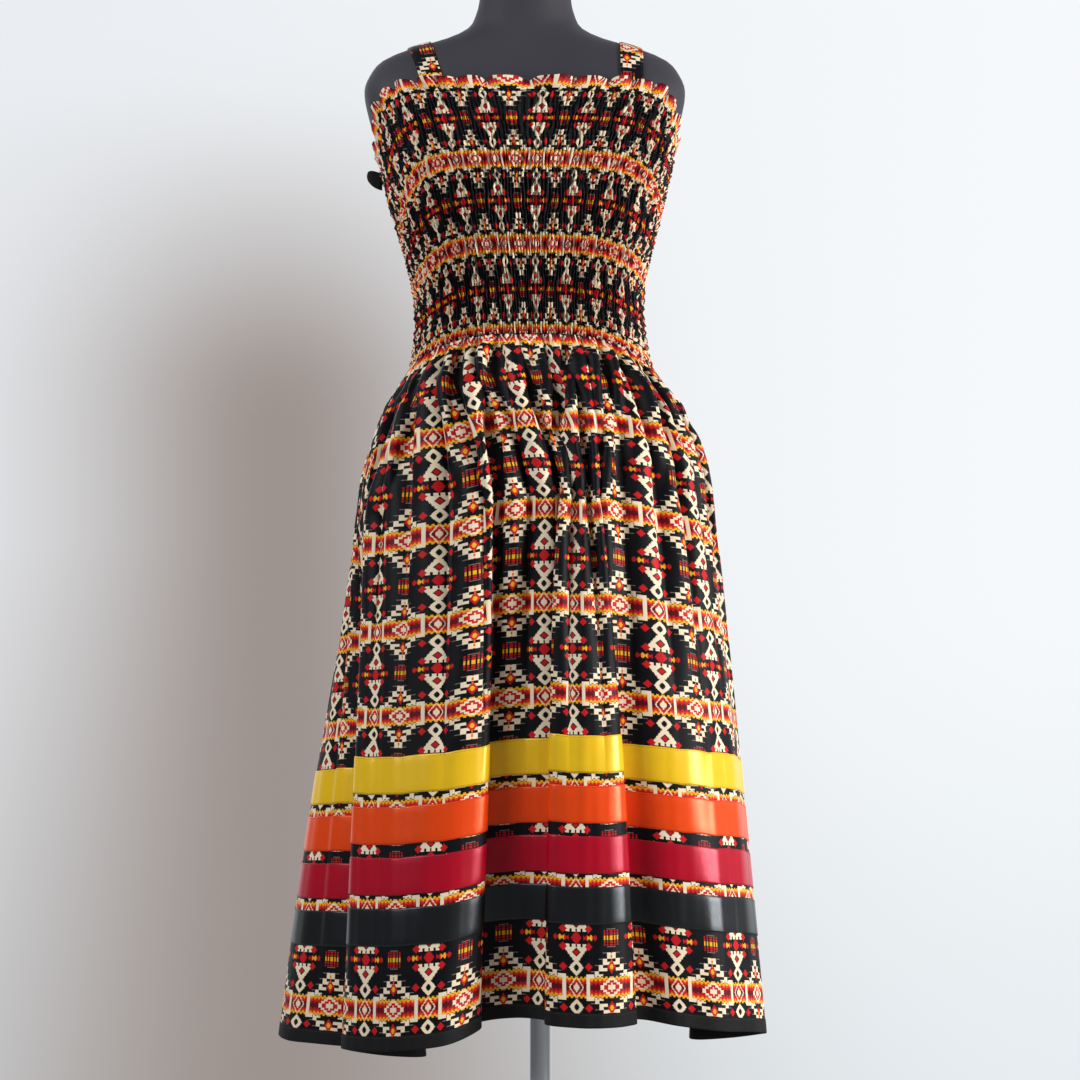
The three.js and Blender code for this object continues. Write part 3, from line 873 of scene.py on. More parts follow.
@dataclass
class DressForm:
    """The padded form without limbs: sections of half width, depth in front and behind, squareness."""

    rows: tuple = (
        (800, 152, 100, 108, 2.2), (850, 163, 108, 118, 2.2), (910, 163, 108, 118, 2.2),
        (980, 146, 98, 104, 2.2), (1040, 126, 89, 90, 2.2), (1085, 121, 88, 84, 2.25),
        (1125, 123, 93, 84, 2.3), (1163, 131, 103, 88, 2.35), (1205, 143, 113, 93, 2.4),
        (1244, 153, 115, 97, 2.45), (1285, 165, 106, 98, 2.6), (1318, 175, 94, 96, 2.8),
        (1345, 179, 81, 91, 3.0), (1362, 173, 71, 84, 3.0), (1378, 160, 62, 75, 2.8),
        (1391, 132, 56, 67, 2.5), (1403, 92, 52, 61, 2.2), (1416, 65, 49, 55, 2.0),
        (1433, 55, 48, 52, 2.0), (1452, 51, 47, 50, 2.0), (1486, 50, 46, 48, 2.0),
        (1495, 47, 43, 45, 2.0), (1500, 38, 34, 36, 2.0),
    )
    around: int = 160
    curves: dict = field(default_factory=dict)

    def __post_init__(self) -> None:
        """Draws a smooth curve through each column."""
        names = ("half", "front", "back", "square")
        self.curves = curves_of([row[1:] for row in self.rows], names, [row[0] for row in self.rows])

    def section(self, height: Array, room: Union[float, Array] = 0.0) -> tuple:
        """Gives the section at a height, with some room round it."""
        half, front, back = (self.curves[name](height) + room for name in ("half", "front", "back"))
        return half, front, back, self.curves["square"](height)

    def point(self, angle: Array, height: Array, room: Union[float, Array]) -> Array:
        """Gives points round the form at an angle and a height."""
        return oval(*self.section(height, room), angle, height)

    def holds(self, x: Array, y: Array, height: Array) -> Array:
        """Whether points are inside the form."""
        half, front, back, square = self.section(height)
        depth = np.where(y < 0, front, back)
        return np.abs(x / half) ** square + np.abs(y / depth) ** square < 1

    def build(self, wardrobe: Wardrobe) -> None:
        """Makes the form with its rounded neck top and its closed bottom."""
        heights = [np.linspace(a[0], b[0], max(2, int((b[0] - a[0]) / 5) + 1))[:-1]
                   for a, b in zip(self.rows[:-1], self.rows[1:])]
        levels = np.concatenate([*heights, [1500.0]])
        angle = np.arange(self.around) * (2 * math.pi / self.around)
        rings = self.point(angle[None, :], levels[:, None], 0.0)
        bottom = np.stack([rings[0] * (s, s, 1) for s in (0.1, 0.5, 0.9, 0.985)])
        top = np.stack([rings[-1] * (s, s, 1) for s in (0.9, 0.6, 0.25, 0.05)])
        rings = leaned(np.concatenate([bottom, rings, top]))
        wear(Mesher.turned("padded_form", rings, wardrobe.jersey), "form_torso")


# Bodice, ruffle and straps


@dataclass
class Bodice:
    """The shirred bodice: height in front, drop at the left and right, lateness of it, and ease."""

    form: DressForm
    rows: tuple = (
        (1333, 77, 67, 6.6, 1.6), (1293, 84, 58, 5.4, 2.2), (1255, 86, 48, 5, 2.4),
        (1205, 60, 36, 4, 2.4), (1160, 42, 28, 3.5, 2.2), (1112, 36, 28, 3, 2.8),
        (1069, 31, 31, 3, 4.5),
    )
    puckers: int = 122
    steps: int = 6
    levels: int = 66
    valley: float = 1.0
    depth: float = 4.8
    wall: float = 0.7
    trim: float = 0.0007
    band_heights: tuple = (1069.0, 1165.0, 1255.0, 1347.0)
    first_band: float = 0.041
    band_pitch: float = 0.0995
    broken: tuple = (0.0015, 0.0009)
    sway: tuple = (2.2, 2.8)
    roundness: float = 0.62
    pinch: float = 0.78
    top: float = 1333.0
    flat: tuple = (0.90, 0.28)
    curves: dict = field(default_factory=dict)

    def __post_init__(self) -> None:
        """Draws a smooth curve through each column and along the girth."""
        places = [k / (len(self.rows) - 1) for k in range(len(self.rows))]
        self.curves = curves_of(self.rows, ("z", "left", "right", "late", "ease"), places)
        self.turns = {}
        for panel in Panel:
            angle = np.radians(np.linspace(panel.start, panel.start + 180, 721))
            along = lengths(self.point(np.full_like(angle, 0.45), angle, 2.0))
            self.turns[panel] = (along / along[-1], angle)

    def angle(self, panel: Panel, share: Array) -> Array:
        """The angle at a share of the panel's worn width."""
        return np.interp(share, *self.turns[panel])

    def height(self, level: Array, angle: Array) -> Array:
        """Height of a level, 0 at the top edge and 1 at the waist seam."""
        side = np.sin(angle)
        drop = np.where(side < 0, self.curves["left"](level), self.curves["right"](level))
        return self.curves["z"](level) - drop * np.abs(side) ** self.curves["late"](level)

    def point(self, level: Array, angle: Array, proud: Union[float, Array]) -> Array:
        """Points on the bodice, proud of its inner face."""
        return self.form.point(angle, self.height(level, angle), self.curves["ease"](level) + proud)

    def cloth_height(self, front_height: Array) -> Array:
        """Place along the flat cloth, in metres, of a height at the front."""
        lowest, second = self.band_heights[:2]
        at = np.interp(front_height, self.band_heights, range(len(self.band_heights)))
        below = (front_height - lowest) / (second - lowest)
        return self.first_band + self.band_pitch * np.where(front_height < lowest, below, at)

    def pucker(self, panel: Panel, share: Array, level: Array) -> Array:
        """How proud the puckered cloth stands, from 0 in a valley to about 1 on a crest.

        Args:
            panel: The bodice's front or back.
            share: Share of the panel's width.
            level: Level on the bodice.
        Returns:
            The heights by row and column.
        """
        seed = 11 if panel is Panel.FRONT else 31
        wander = Unevenness(seed, 76, 24)(share, level)
        slow = Unevenness(seed + 1, 16, 7)(share, level)
        deep = Unevenness(seed + 2, self.puckers, 30)(share, level)
        phase = 2 * math.pi * self.puckers * share + (self.sway[0] * wander + self.sway[1] * slow)
        crest = ((1 + np.cos(phase)) / 2) ** self.roundness
        sewn = np.rint(level * self.levels).astype(int) % 2 == 0
        return crest * np.where(sewn, self.pinch, 1.0) * (0.90 + 0.42 * deep) - 0.08 * sewn

    def across(self, panel: Panel, share: Array, level: Array, outer: Array) -> Array:
        """Place across the flat cloth, in metres: steep walls of puckers take in more of it.

        Args:
            panel: The bodice's front or back.
            share: Share of the panel's width.
            level: Level on the bodice.
            outer: Its points in millimetres.
        Returns:
            The places by row and column.
        """
        seed = 151 if panel is Panel.FRONT else 161
        gaps = np.linalg.norm(np.diff(outer, axis=1), axis=-1)
        taken = 1.3 * run_ahead(gaps, np.linspace(0, 1, outer.shape[1]), self.steps)
        coarse = self.broken[0] * Unevenness(seed, 96, 44)(share, level)
        fine = self.broken[1] * Unevenness(seed + 1, 192, 88)(share, level)
        return (share + taken) * self.flat[0] + (coarse + fine)

    def build(self, wardrobe: Wardrobe) -> None:
        """Makes both panels of the bodice."""
        share = np.linspace(self.trim, 1 - self.trim, self.puckers * self.steps + 1)[None, :]
        level = np.linspace(0, 1, self.levels + 1)[:, None]
        for panel in Panel:
            angle = self.angle(panel, share)
            proud = self.valley + self.depth * np.clip(self.pucker(panel, share, level), 0.02, 1.2)
            outer = self.point(level, angle, proud)
            inner = self.point(level, angle, proud - self.wall)
            across = self.across(panel, share, level, outer)
            cloth = np.stack(np.broadcast_arrays(across, self.cloth_height(self.curves["z"](level))), -1)
            name = f"bodice_{panel.value}_panel"
            piece = Mesher.shell(name, leaned(outer), leaned(inner), cloth, wardrobe.printed(panel))
            wear(piece, f"bodice_{panel.value}")


@dataclass
class Ruffle:
    """The gathered frill that stands on the bodice's top edge."""

    bodice: Bodice
    waves: int = 18
    height: float = 14.5
    stand: float = 1.9
    wall: float = 0.6
    underarm: float = 2.0
    steps: int = 32
    rows: int = 12
    flat: tuple = (0.60, 0.0145)

    def build(self, wardrobe: Wardrobe) -> None:
        """Makes both strips of the ruffle."""
        rise = np.linspace(1, 0, self.rows + 1)[:, None]
        trim = self.bodice.trim
        share = np.linspace(trim, 1 - trim, self.waves * self.steps + 1)[None, :]
        for panel in Panel:
            seed = 51 if panel is Panel.FRONT else 71
            swing = Unevenness(seed, 12, 1)(share, 0 * share) * np.sin(math.pi * share)
            ends = np.clip(np.minimum(share, 1 - share) / 0.06, 0.3, 1)
            size = (1 + 0.4 * Unevenness(seed + 1, self.waves, 1)(share, 0 * share)) * ends
            fine = Unevenness(seed + 2, 70, 4)(share, rise)
            phase = 2 * math.pi * self.waves * share + 2.0 * swing
            fold = 0.85 * rise ** 0.8 * size
            moved = share + fold * np.sin(phase) / (2 * math.pi * self.waves)
            angle = self.bodice.angle(panel, np.clip(moved, trim, 1 - trim))
            wave = (1 + np.cos(phase)) / 2
            side = np.sin(angle)
            flare = self.underarm * np.clip((-side - 0.97) / 0.03, 0, 1) * rise
            near = 1 - 0.62 * np.clip((np.abs(side) - 0.66) / 0.25, 0, 1)
            out = (0.8 + 9.8 * rise ** 0.8 * near) * wave ** 0.95 * size + 0.6 * fine * rise
            edge = self.bodice.height(0 * angle, angle) + 0.6
            lift = self.height * rise * (1.10 - 0.44 * (1 - wave) ** 1.9) + 1.0 * fine * rise
            z = edge + lift
            room = self.bodice.curves["ease"](0.0) + self.stand + out + flare
            outer = self.bodice.form.point(angle, z, room + self.wall)
            inner = self.bodice.form.point(angle, z, room)
            place = self.bodice.cloth_height(self.bodice.top + self.height * rise + 0 * share)
            cloth = np.stack(np.broadcast_arrays(share * self.bodice.flat[0], place), -1)
            name = f"ruffle_{panel.value}_strip"
            piece = Mesher.shell(name, leaned(outer), leaned(inner), cloth, wardrobe.printed(panel))
            wear(piece, f"ruffle_{panel.value}")


@dataclass
class Straps:
    """The two shoulder straps: where each one's middle line is in front, on top and behind."""

    bodice: Bodice
    lines: dict = field(default_factory=lambda: {
        Side.LEFT: (-97, -119, -88), Side.RIGHT: (118, 118, 90)})
    cut: dict = field(default_factory=lambda: {Side.LEFT: (0.022, 0.325), Side.RIGHT: (0.113, 0.372)})
    width: float = 25.0
    wall: float = 1.3
    ease: float = 0.9
    steps: int = 96
    columns: int = 12
    flat: tuple = (0.025, 0.27)

    def foot(self, middle: float) -> float:
        """Height at which a strap meets the bodice's top edge."""
        half, _, _, square = self.bodice.form.section(np.array(self.bodice.top))
        angle = math.asin(((abs(middle) - self.width / 2) / float(half)) ** (float(square) / 2))
        return float(self.bodice.height(np.array(0.0), np.array(math.copysign(angle, middle)))) + 0.6

    def surface(self, side: Side, proud: Array) -> Array:
        """Points on a strap by column across it and step over the shoulder."""
        front, top, back = self.lines[side]
        turn = np.linspace(0, math.pi, self.steps + 1)[None, :]
        over = np.sin(turn)
        ahead = turn < math.pi / 2
        end = np.where(ahead, front, back)
        foot = np.where(ahead, self.foot(front), self.foot(back))
        offset = np.linspace(-0.5, 0.5, self.columns + 1)[:, None] * self.width
        x = end + (top - end) * over + offset
        near, far = np.zeros_like(x), np.full_like(x, 200.0)
        for _ in range(40):
            middle = (near + far) / 2
            inside = self.bodice.form.holds(x, -middle * np.cos(turn), foot + middle * over)
            near, far = np.where(inside, middle, near), np.where(inside, far, middle)
        r = near + self.ease + proud
        return np.stack([x, -r * np.cos(turn), foot + r * over], -1)

    def build(self, wardrobe: Wardrobe, stitching: Stitching) -> None:
        """Makes both straps and stitches their edges."""
        across = np.linspace(-1, 1, self.columns + 1)[:, None]
        crown = self.wall * (1 - 0.35 * across ** 6)
        for side in Side:
            outer, inner = self.surface(side, crown), self.surface(side, 0 * crown)
            outer, inner = leaned(outer)[::-1], leaned(inner)[::-1]
            along = lengths(outer[self.columns // 2])[None, :]
            width = (across[::-1] + 1) / 2 * self.width * METRE
            start, first = self.cut[side]
            cloth = np.stack(np.broadcast_arrays(start + width, first + along), -1)
            name = f"strap_{side.value}_band"
            piece = Mesher.shell(name, outer, inner, cloth, wardrobe.print_front)
            wear(piece, f"strap_{side.value}")
            normal = normals_of(outer)
            for column in (1, self.columns - 1):
                stitching.follow(outer[column], normal[column])
        self.loop(wardrobe)

    def loop(self, wardrobe: Wardrobe) -> None:
        """Makes the small folded loop of black tape at the left underarm."""
        turn = np.linspace(0, math.pi, 25)[None, :]
        side = np.linspace(-0.5, 0.5, 9)[:, None]
        root = self.bodice.point(np.array(0.0), np.array(-math.pi / 2), 3.0)
        bend = np.sin(turn)
        x = root[0] - 17 * bend ** 0.8 * (1 - 0.3 * side ** 2)
        y = root[1] - 4.0 * np.cos(turn) * (0.4 + 0.6 * bend)
        z = root[2] - 10 + 19 * side * (1 - 0.45 * bend ** 3) + 6.0 * bend
        outer = np.stack(np.broadcast_arrays(x, y, z), -1)
        inner = outer - normals_of(outer) * 0.7
        flat = (0.036, 0.018)
        cloth = np.stack(np.broadcast_arrays(side * flat[1], turn / math.pi * flat[0]), -1)
        piece = Mesher.shell("underarm_loop", leaned(outer), leaned(inner), cloth, wardrobe.tape)
        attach(piece, "root")


# Skirt, ribbons and hem


@dataclass
class Skirt:
    """The gathered skirt, in rings down to the hip and then in its hanging folds to the hem."""

    rings: tuple = (
        (1067.9, 31, 133.5, 97, 93, 2.2, 0), (1048, 33, 148, 111, 107, 4.2, 0.1),
        (1022, 33, 164, 126, 122, 5.4, 0.25), (988, 33, 177, 141, 137, 6.0, 0.5),
        (942, 33, 189, 154, 150, 5.8, 0.8), (890, 33, 197, 164, 160, 5.0, 1),
    )
    hem: tuple = (
        (-124, -113, 290, -79), (-133, -127, 291, -76), (-165, -134, 294, -73), (-198, -141, 300, -70),
        (-211, -156, 306, -67), (-197, -178, 308, -62), (-162, -205, 312, -49), (-130, -215, 316, -37),
        (-104, -214, 319, -25.5), (-85, -205, 323, -17.5), (-69, -191, 328, -13), (-61, -177, 332, -11.2),
        (-66, -167, 335, -10.5), (-46, -162, 338, -7), (-22, -165, 340, -2), (-2, -178, 341, 4),
        (7, -193, 341, 6), (5, -206, 341, 6.5), (16, -218, 341, 7.5), (42, -225, 340, 10.5),
        (68, -224, 340, 14), (89, -215, 340, 16), (102, -200, 340, 16.5), (96, -189, 341, 17),
        (96, -179, 341, 18), (113, -178, 340, 23), (146, -185, 335, 35), (189, -176, 328, 52),
        (225, -143, 321, 66), (243, -102, 312, 80), (238, -78, 306, 85), (212, -70, 301, 88),
        (178, -66, 298, 91), (165, -54, 297, 93), (176, -42, 297, 95), (207, -35, 298, 98),
        (236, -10, 300, 102), (240, 30, 303, 109), (213, 62, 306, 117), (206, 106, 310, 126),
        (168, 120, 314, 134), (143, 163, 318, 143), (96, 166, 323, 153), (63, 201, 327, 163),
        (12, 189, 329, 174), (-37, 212, 330, 185), (-83, 187, 328, 196), (-133, 193, 324, 207),
        (-163, 155, 319, 217), (-210, 146, 314, 227), (-228, 102, 308, 238), (-268, 78, 303, 249),
        (-276, 34, 296, 259), (-292, 2, 292, 265), (-280, -38, 292, 269), (-247, -68, 294, 273),
        (-202, -88, 294, 276), (-150, -97, 291, 279),
    )
    right_seam: int = 33
    gathers: int = 20
    square: float = 2.2
    late: float = 3.0
    flare: float = 0.86
    early: float = 1.35
    wall: float = 0.7
    columns: int = 448
    trim: float = 0.0004
    seam: float = 738.0
    seam_puckers: int = 66
    reach: int = 28
    drawn_fully: float = 295.0
    drawn_to: tuple = (330.0, 490.0)
    flat: tuple = (0.90, 0.76)
    gather_depth: dict = field(default_factory=lambda: {
        Panel.FRONT: (1.0, 0.8, 1.1, 0.7, 1.2, 0.9, 1.3, 0.8, 1.25, 1.0, 0.75, 1.35, 0.9, 1.2,
                      0.7, 1.3, 1.0, 0.8, 1.15, 0.9, 1.0),
        Panel.BACK: (1.0, 1.2, 0.8, 1.1, 0.7, 1.25, 1.0, 0.75, 1.3, 0.9, 1.2, 0.8, 1.1, 0.7,
                     1.3, 1.0, 0.85, 1.2, 0.75, 1.1, 1.0)})
    gather_reach: dict = field(default_factory=lambda: {
        Panel.FRONT: (0.5, 0.3, 0.6, 0.25, 0.7, 0.35, 0.9, 0.3, 0.75, 0.5, 0.35, 0.95, 0.4, 0.8,
                      0.3, 0.7, 0.5, 0.3, 0.6, 0.35, 0.5),
        Panel.BACK: (0.5, 0.7, 0.35, 0.6, 0.3, 0.8, 0.45, 0.3, 0.9, 0.4, 0.7, 0.35, 0.6, 0.3,
                     0.85, 0.5, 0.35, 0.75, 0.3, 0.6, 0.5)})
    folds: dict = field(default_factory=lambda: {
        Panel.FRONT: (
            (0.415, 0.346, 0.5, 6.0, 9.5, 0.019, 1), (0.60, 0.478, 0.5, 6.0, 8.0, 0.018, -1),
            (0.665, 0.622, 0.5, 6.0, 9.5, 0.018, 1), (0.17, 0.130, 2.0, 6.0, 7.0, 0.020, -1),
            (0.325, 0.285, 0.3, 4.9, 5.4, 0.014, 1), (0.385, 0.385, 0.3, 3.0, 4.6, 0.011, -1),
            (0.485, 0.44, 0.3, 5.0, 5.0, 0.013, 1), (0.53, 0.53, 0.3, 4.3, 4.8, 0.012, 1),
            (0.72, 0.66, 0.3, 5.5, 5.4, 0.014, 1), (0.79, 0.72, 0.4, 5.3, 4.8, 0.015, 1),
            (0.83, 0.80, 0.5, 5.6, 4.8, 0.016, -1), (0.22, 0.23, 0.7, 5.3, 4.6, 0.015, -1),
            (0.25, 0.18, 1.8, 5.7, 4.0, 0.015, 1), (0.88, 0.89, 1.2, 5.7, 4.2, 0.016, -1)),
        Panel.BACK: (
            (0.12, 0.14, 1.0, 6.0, 6.0, 0.019, 1), (0.22, 0.205, 0.6, 5.5, 4.8, 0.016, -1),
            (0.33, 0.34, 0.5, 6.0, 7.0, 0.020, 1), (0.42, 0.42, 0.8, 5.4, 4.6, 0.016, 1),
            (0.50, 0.51, 1.5, 6.0, 6.6, 0.019, -1), (0.60, 0.585, 0.7, 5.6, 5.0, 0.017, 1),
            (0.70, 0.71, 0.9, 6.0, 7.0, 0.020, -1), (0.80, 0.79, 0.8, 5.5, 4.6, 0.016, 1),
            (0.90, 0.88, 2.2, 6.0, 5.6, 0.018, -1))})
    drawn: dict = field(default_factory=lambda: {
        Panel.FRONT: ((0, 10), (0.1, 10), (0.14, 15), (0.30, 10), (0.340, 6), (0.352, 0), (0.474, 0),
                      (0.488, 8), (0.618, 8), (0.632, -7), (0.75, 0), (0.88, 4), (1, 0)),
        Panel.BACK: ((0, 0), (0.3, 3), (0.55, -3), (0.8, 4), (1, 10))})
    curves: dict = field(default_factory=dict)

    def __post_init__(self) -> None:
        """Draws the rings' curves and the hem's line."""
        names = ("z", "drop", "half", "front", "back", "gather", "drift")
        self.curves = curves_of(self.rings, names, range(len(self.rings)))
        self.last = len(self.rings) - 1
        self.lines = self.hem_lines()
        self.lumps = {
            panel: (Unevenness(seed, 30, 12), Unevenness(seed + 1, 110, 5), Unevenness(seed + 2, 14, 5))
            for panel, seed in ((Panel.FRONT, 101), (Panel.BACK, 131))}

    def hem_lines(self) -> dict:
        """The cloth's line at the hem for each panel.

        Returns:
            For each panel rows of x, y, z, hip angle, share of the panel and the slow line's x and y.
        """
        fine, count = 24, len(self.hem)
        points = []
        for k in range(count):
            rows = np.array([self.hem[(k + j) % count] for j in (-1, 0, 1, 2)], float)
            rows[:, 3] -= 360 * np.round((rows[:, 3] - rows[1, 3]) / 360)
            a, b, c, d = rows
            for t in np.arange(fine) / fine:
                bow = (2 * a - 5 * b + 4 * c - d) * t * t
                twist = (3 * b - a - 3 * c + d) * t ** 3
                points.append(0.5 * (2 * b + (c - a) * t + bow + twist))
        line = np.array(points)
        line = np.column_stack([line, self.slow_line(line[:, :2])])
        seam = fine * self.right_seam
        lines = {}
        for panel, part in ((Panel.FRONT, line[:seam + 1]), (Panel.BACK, np.vstack([line[seam:], line[:1]]))):
            hips = np.degrees(np.unwrap(np.radians(part[:, 3])))
            along = lengths(part[:, :2])
            lines[panel] = np.column_stack([part[:, :3], hips, along / along[-1], part[:, 4:]])
        return lines

    @staticmethod
    def slow_line(line: Array, reach: float = 62.0) -> Array:
        """The hem's line without its folds: each point is the mean of its neighbours."""
        gaps = np.linalg.norm(np.diff(line, axis=0, append=line[:1]), axis=1)
        along = np.concatenate([[0], np.cumsum(gaps)])
        apart = np.abs(along[:-1, None] - along[None, :-1])
        apart = np.minimum(apart, along[-1] - apart)
        weight = np.exp(-((apart / reach) ** 2)) * gaps[None, :]
        return weight @ line / weight.sum(1, keepdims=True)

    def gather(self, panel: Panel, share: Array, level: Array, tucks: bool = False) -> Array:
        """How proud the gathers stand, with round crests and narrow valleys of uneven depth.

        Args:
            panel: The skirt's front or back.
            share: Share of the panel's width.
            level: Level on the skirt.
            tucks: Gives the cloth taken into the valleys in place of their height.
        Returns:
            The heights or the cloth taken in, in millimetres.
        """
        down = np.clip(level - self.last, 0, 1)
        crests = np.linspace(0, 1, self.gathers + 1)
        depth = np.interp(share, crests, self.gather_depth[panel])
        reach = np.interp(share, crests, self.gather_reach[panel])
        phase = 2 * math.pi * self.gathers * (share + 0.7 * self.uneven(share))
        fade = np.clip(1 - down / reach, 0, 1)
        fade = fade * fade * (3 - 2 * fade)
        size = depth * self.curves["gather"](np.minimum(level, self.last)) * fade
        if tucks:
            return ((1 - np.cos(phase)) / 2) ** 14 * size
        return (3.0 * ((1 + np.cos(phase)) / 2) ** 0.33 - 2.25) * size

    @staticmethod
    def uneven(share: Array) -> Array:
        """How far gathers stray from even places, as a share of the panel's width."""
        return (0.007 * np.sin(17 * share) + 0.004 * np.sin(41 * share + 1)) * np.sin(math.pi * share)

    def point(self, panel: Panel, share: Array, level: Array) -> Array:
        """Points on the skirt at a share of the panel's width and a level, 0 at the seam."""
        share, level = np.broadcast_arrays(np.asarray(share, float), np.asarray(level, float))
        line = self.lines[panel]
        x, y, z, hip, slow_x, slow_y = (
            np.interp(share, line[:, 4], line[:, k]) for k in (0, 1, 2, 3, 5, 6))
        even = panel.start + 180 * (share + self.uneven(share))
        hip = hip - 360 * np.round((hip - even) / 360)
        ring = np.minimum(level, self.last)
        row = {name: curve(ring) for name, curve in self.curves.items()}
        angle = np.radians(even + (hip - even) * row["drift"])
        swing = self.gather(panel, share, level)
        height = row["z"] - row["drop"] * np.abs(np.sin(angle)) ** self.late
        sides = (row[name] + swing for name in ("half", "front", "back"))
        upper = oval(*sides, self.square, angle, height)
        down = np.maximum(level - self.last, 0)
        spread = (down ** self.flare)[..., None]
        lower = np.stack([x, y, z], -1)
        middle = np.clip(np.minimum(share - 0.16, 0.84 - share) / 0.06, 0, 1)
        early = (middle * self.early * down ** 0.8 * (1 - down))[..., None]
        fold = np.stack([x - slow_x, y - slow_y, 0 * z], -1)
        mixed = upper * (1 - spread) + lower * spread + fold * early
        mixed[..., 2] = height * (1 - down) + z * down
        return mixed

    def length(self, panel: Panel, share: Array) -> Array:
        """Length of the cloth from the hip ring to the hem."""
        hip = self.point(panel, share, np.full_like(share, self.last))
        return np.linalg.norm(hip - self.point(panel, share, np.full_like(share, self.last + 1)), axis=-1)

    def ledges(self, panel: Panel, share: Array, level: Array, tucks: bool = False) -> Array:
        """The long folds: a soft ridge with a sharp fall on one side, each one listed."""
        height = np.zeros(np.broadcast_shapes(share.shape, level.shape))
        for top, bottom, high, low, depth, width, turned in self.folds[panel]:
            along = np.clip((level - high) / (low - high), 0, 1)
            drift = np.clip((level - high) / (min(low, 5.2) - high), 0, 1)
            swell = np.sin(math.pi * along ** 0.8) ** 0.7
            s = (share - top - (bottom - top) * drift) / width * turned
            if tucks:
                height += depth * swell * np.exp(-(((s - 0.35) / 0.22) ** 2))
                continue
            ridge = np.exp(-((s + 0.8) ** 2) / np.where(s < -0.8, 1.6, 0.45))
            valley = np.exp(-((s - 0.35) ** 2) / np.where(s < 0.35, 0.16, 1.5))
            height += depth * swell * (0.8 * ridge - valley)
        return height

    def across(self, panel: Panel, share: Array, level: Array, points: Array) -> Array:
        """Place across the flat cloth, in metres: the cloth that is not in sight lies in the folds."""
        gaps = np.linalg.norm(np.diff(points, axis=1), axis=-1)
        at = (share[:, 1:] + share[:, :-1]) / 2
        row = (level[:, 1:] + level[:, :-1]) / 2
        tucks = self.gather(panel, at, row, True) + self.ledges(panel, at, row, True) + 0.03
        spare = np.clip(self.flat[0] * 1000 - gaps.sum(1), 0, None)[:, None]
        gaps = gaps + spare * tucks / tucks.sum(1, keepdims=True)
        return (share + run_ahead(gaps, share, self.reach)) * self.flat[0]

    def drawn_up(self, panel: Panel, share: Array, height: Array) -> Array:
        """How far the cloth is drawn up at a height above the hem: folds carry it unevenly."""
        knots = np.array(self.drawn[panel])
        low, high = self.drawn_to
        fade = np.clip(1 - (height - low) / (high - low), 0, 1)
        return np.interp(share, knots[:, 0], knots[:, 1]) * np.clip(height / self.drawn_fully, 0, 1) * fade

    def creased(self, panel: Panel, share: Array, level: Array) -> Array:
        """Small heights on the cloth: seam puckers, soft creases and the ribbons' ripples."""
        down = np.maximum(level - self.last, 0)
        soft, fine, broad = (lump(share, level / (self.last + 1)) for lump in self.lumps[panel])
        edge = np.clip(np.minimum(share, 1 - share) / 0.02, 0, 1)
        seam = np.clip(1 - level / 1.3, 0, 1) ** 2
        pucker = 1.3 * seam * np.cos(2 * math.pi * self.seam_puckers * share + 2.0 * soft)
        crease = 1.6 * soft * np.clip(level / 2, 0, 1)
        swell = 2.4 * broad * np.clip(level / 3, 0, 1) * (1 - 0.5 * down)
        ripple = 0.32 * fine * np.clip(down / 0.4, 0, 1)
        return (pucker + crease + swell + ripple + self.ledges(panel, share, level)) * edge

    def surface(self, levels: Callable) -> dict:
        """Points and outward normals of both panels on a shared set of rows.

        Args:
            levels: Gives the levels of the rows for a panel and its shares.
        Returns:
            For each panel its shares, points and normals.
        """
        share = np.linspace(self.trim, 1 - self.trim, self.columns + 1)[None, :]
        rows = {panel: levels(panel, share) for panel in Panel}
        smooth = np.concatenate([self.point(panel, share, rows[panel]) for panel in Panel], 1)
        normal = normals_of(smooth, closed=True)
        height = np.concatenate([self.creased(panel, share, rows[panel]) for panel in Panel], 1)
        points = smooth + normal * height[..., None]
        normal = normals_of(points, closed=True)
        half = self.columns + 1
        return {panel: (share, points[:, k:k + half], normal[:, k:k + half])
                for panel, k in ((Panel.FRONT, 0), (Panel.BACK, half))}

    def cloth_height(self, panel: Panel, share: Array, level: Array) -> Array:
        """Place along the flat cloth above the hem, in metres."""
        length = self.length(panel, share)
        lower = (1 - np.maximum(level - self.last, 0)) * length
        hip, top = self.rings[-1][0], self.rings[0][0]
        risen = (self.curves["z"](np.minimum(level, self.last)) - hip) / (top - hip)
        return (lower - self.drawn_up(panel, share, lower) + risen * (self.seam - length)) * METRE

    def build(self, wardrobe: Wardrobe) -> None:
        """Makes both panels of the skirt, down to inside the hem binding."""
        upper = np.concatenate([np.linspace(0, 2, 30)[:-1], np.linspace(2, self.last, 27)])

        def levels(panel: Panel, share: Array) -> Array:
            """Rows from the seam to inside the binding."""
            end = self.last + 1 - 8.0 / self.length(panel, share)
            lower = self.last + (end - self.last) * np.linspace(0, 1, 66)[1:, None]
            return np.concatenate([np.broadcast_to(upper[:, None], (len(upper), share.shape[1])), lower])

        for panel, (share, points, normal) in self.surface(levels).items():
            rows = levels(panel, share)
            across = self.across(panel, share, rows, points)
            cloth = np.stack([across, self.cloth_height(panel, share, rows)], -1)
            name = f"skirt_{panel.value}_panel"
            inner = points - normal * self.wall
            piece = Mesher.shell(name, leaned(points), leaned(inner), cloth, wardrobe.printed(panel))
            wear(piece, f"skirt_{panel.value}")


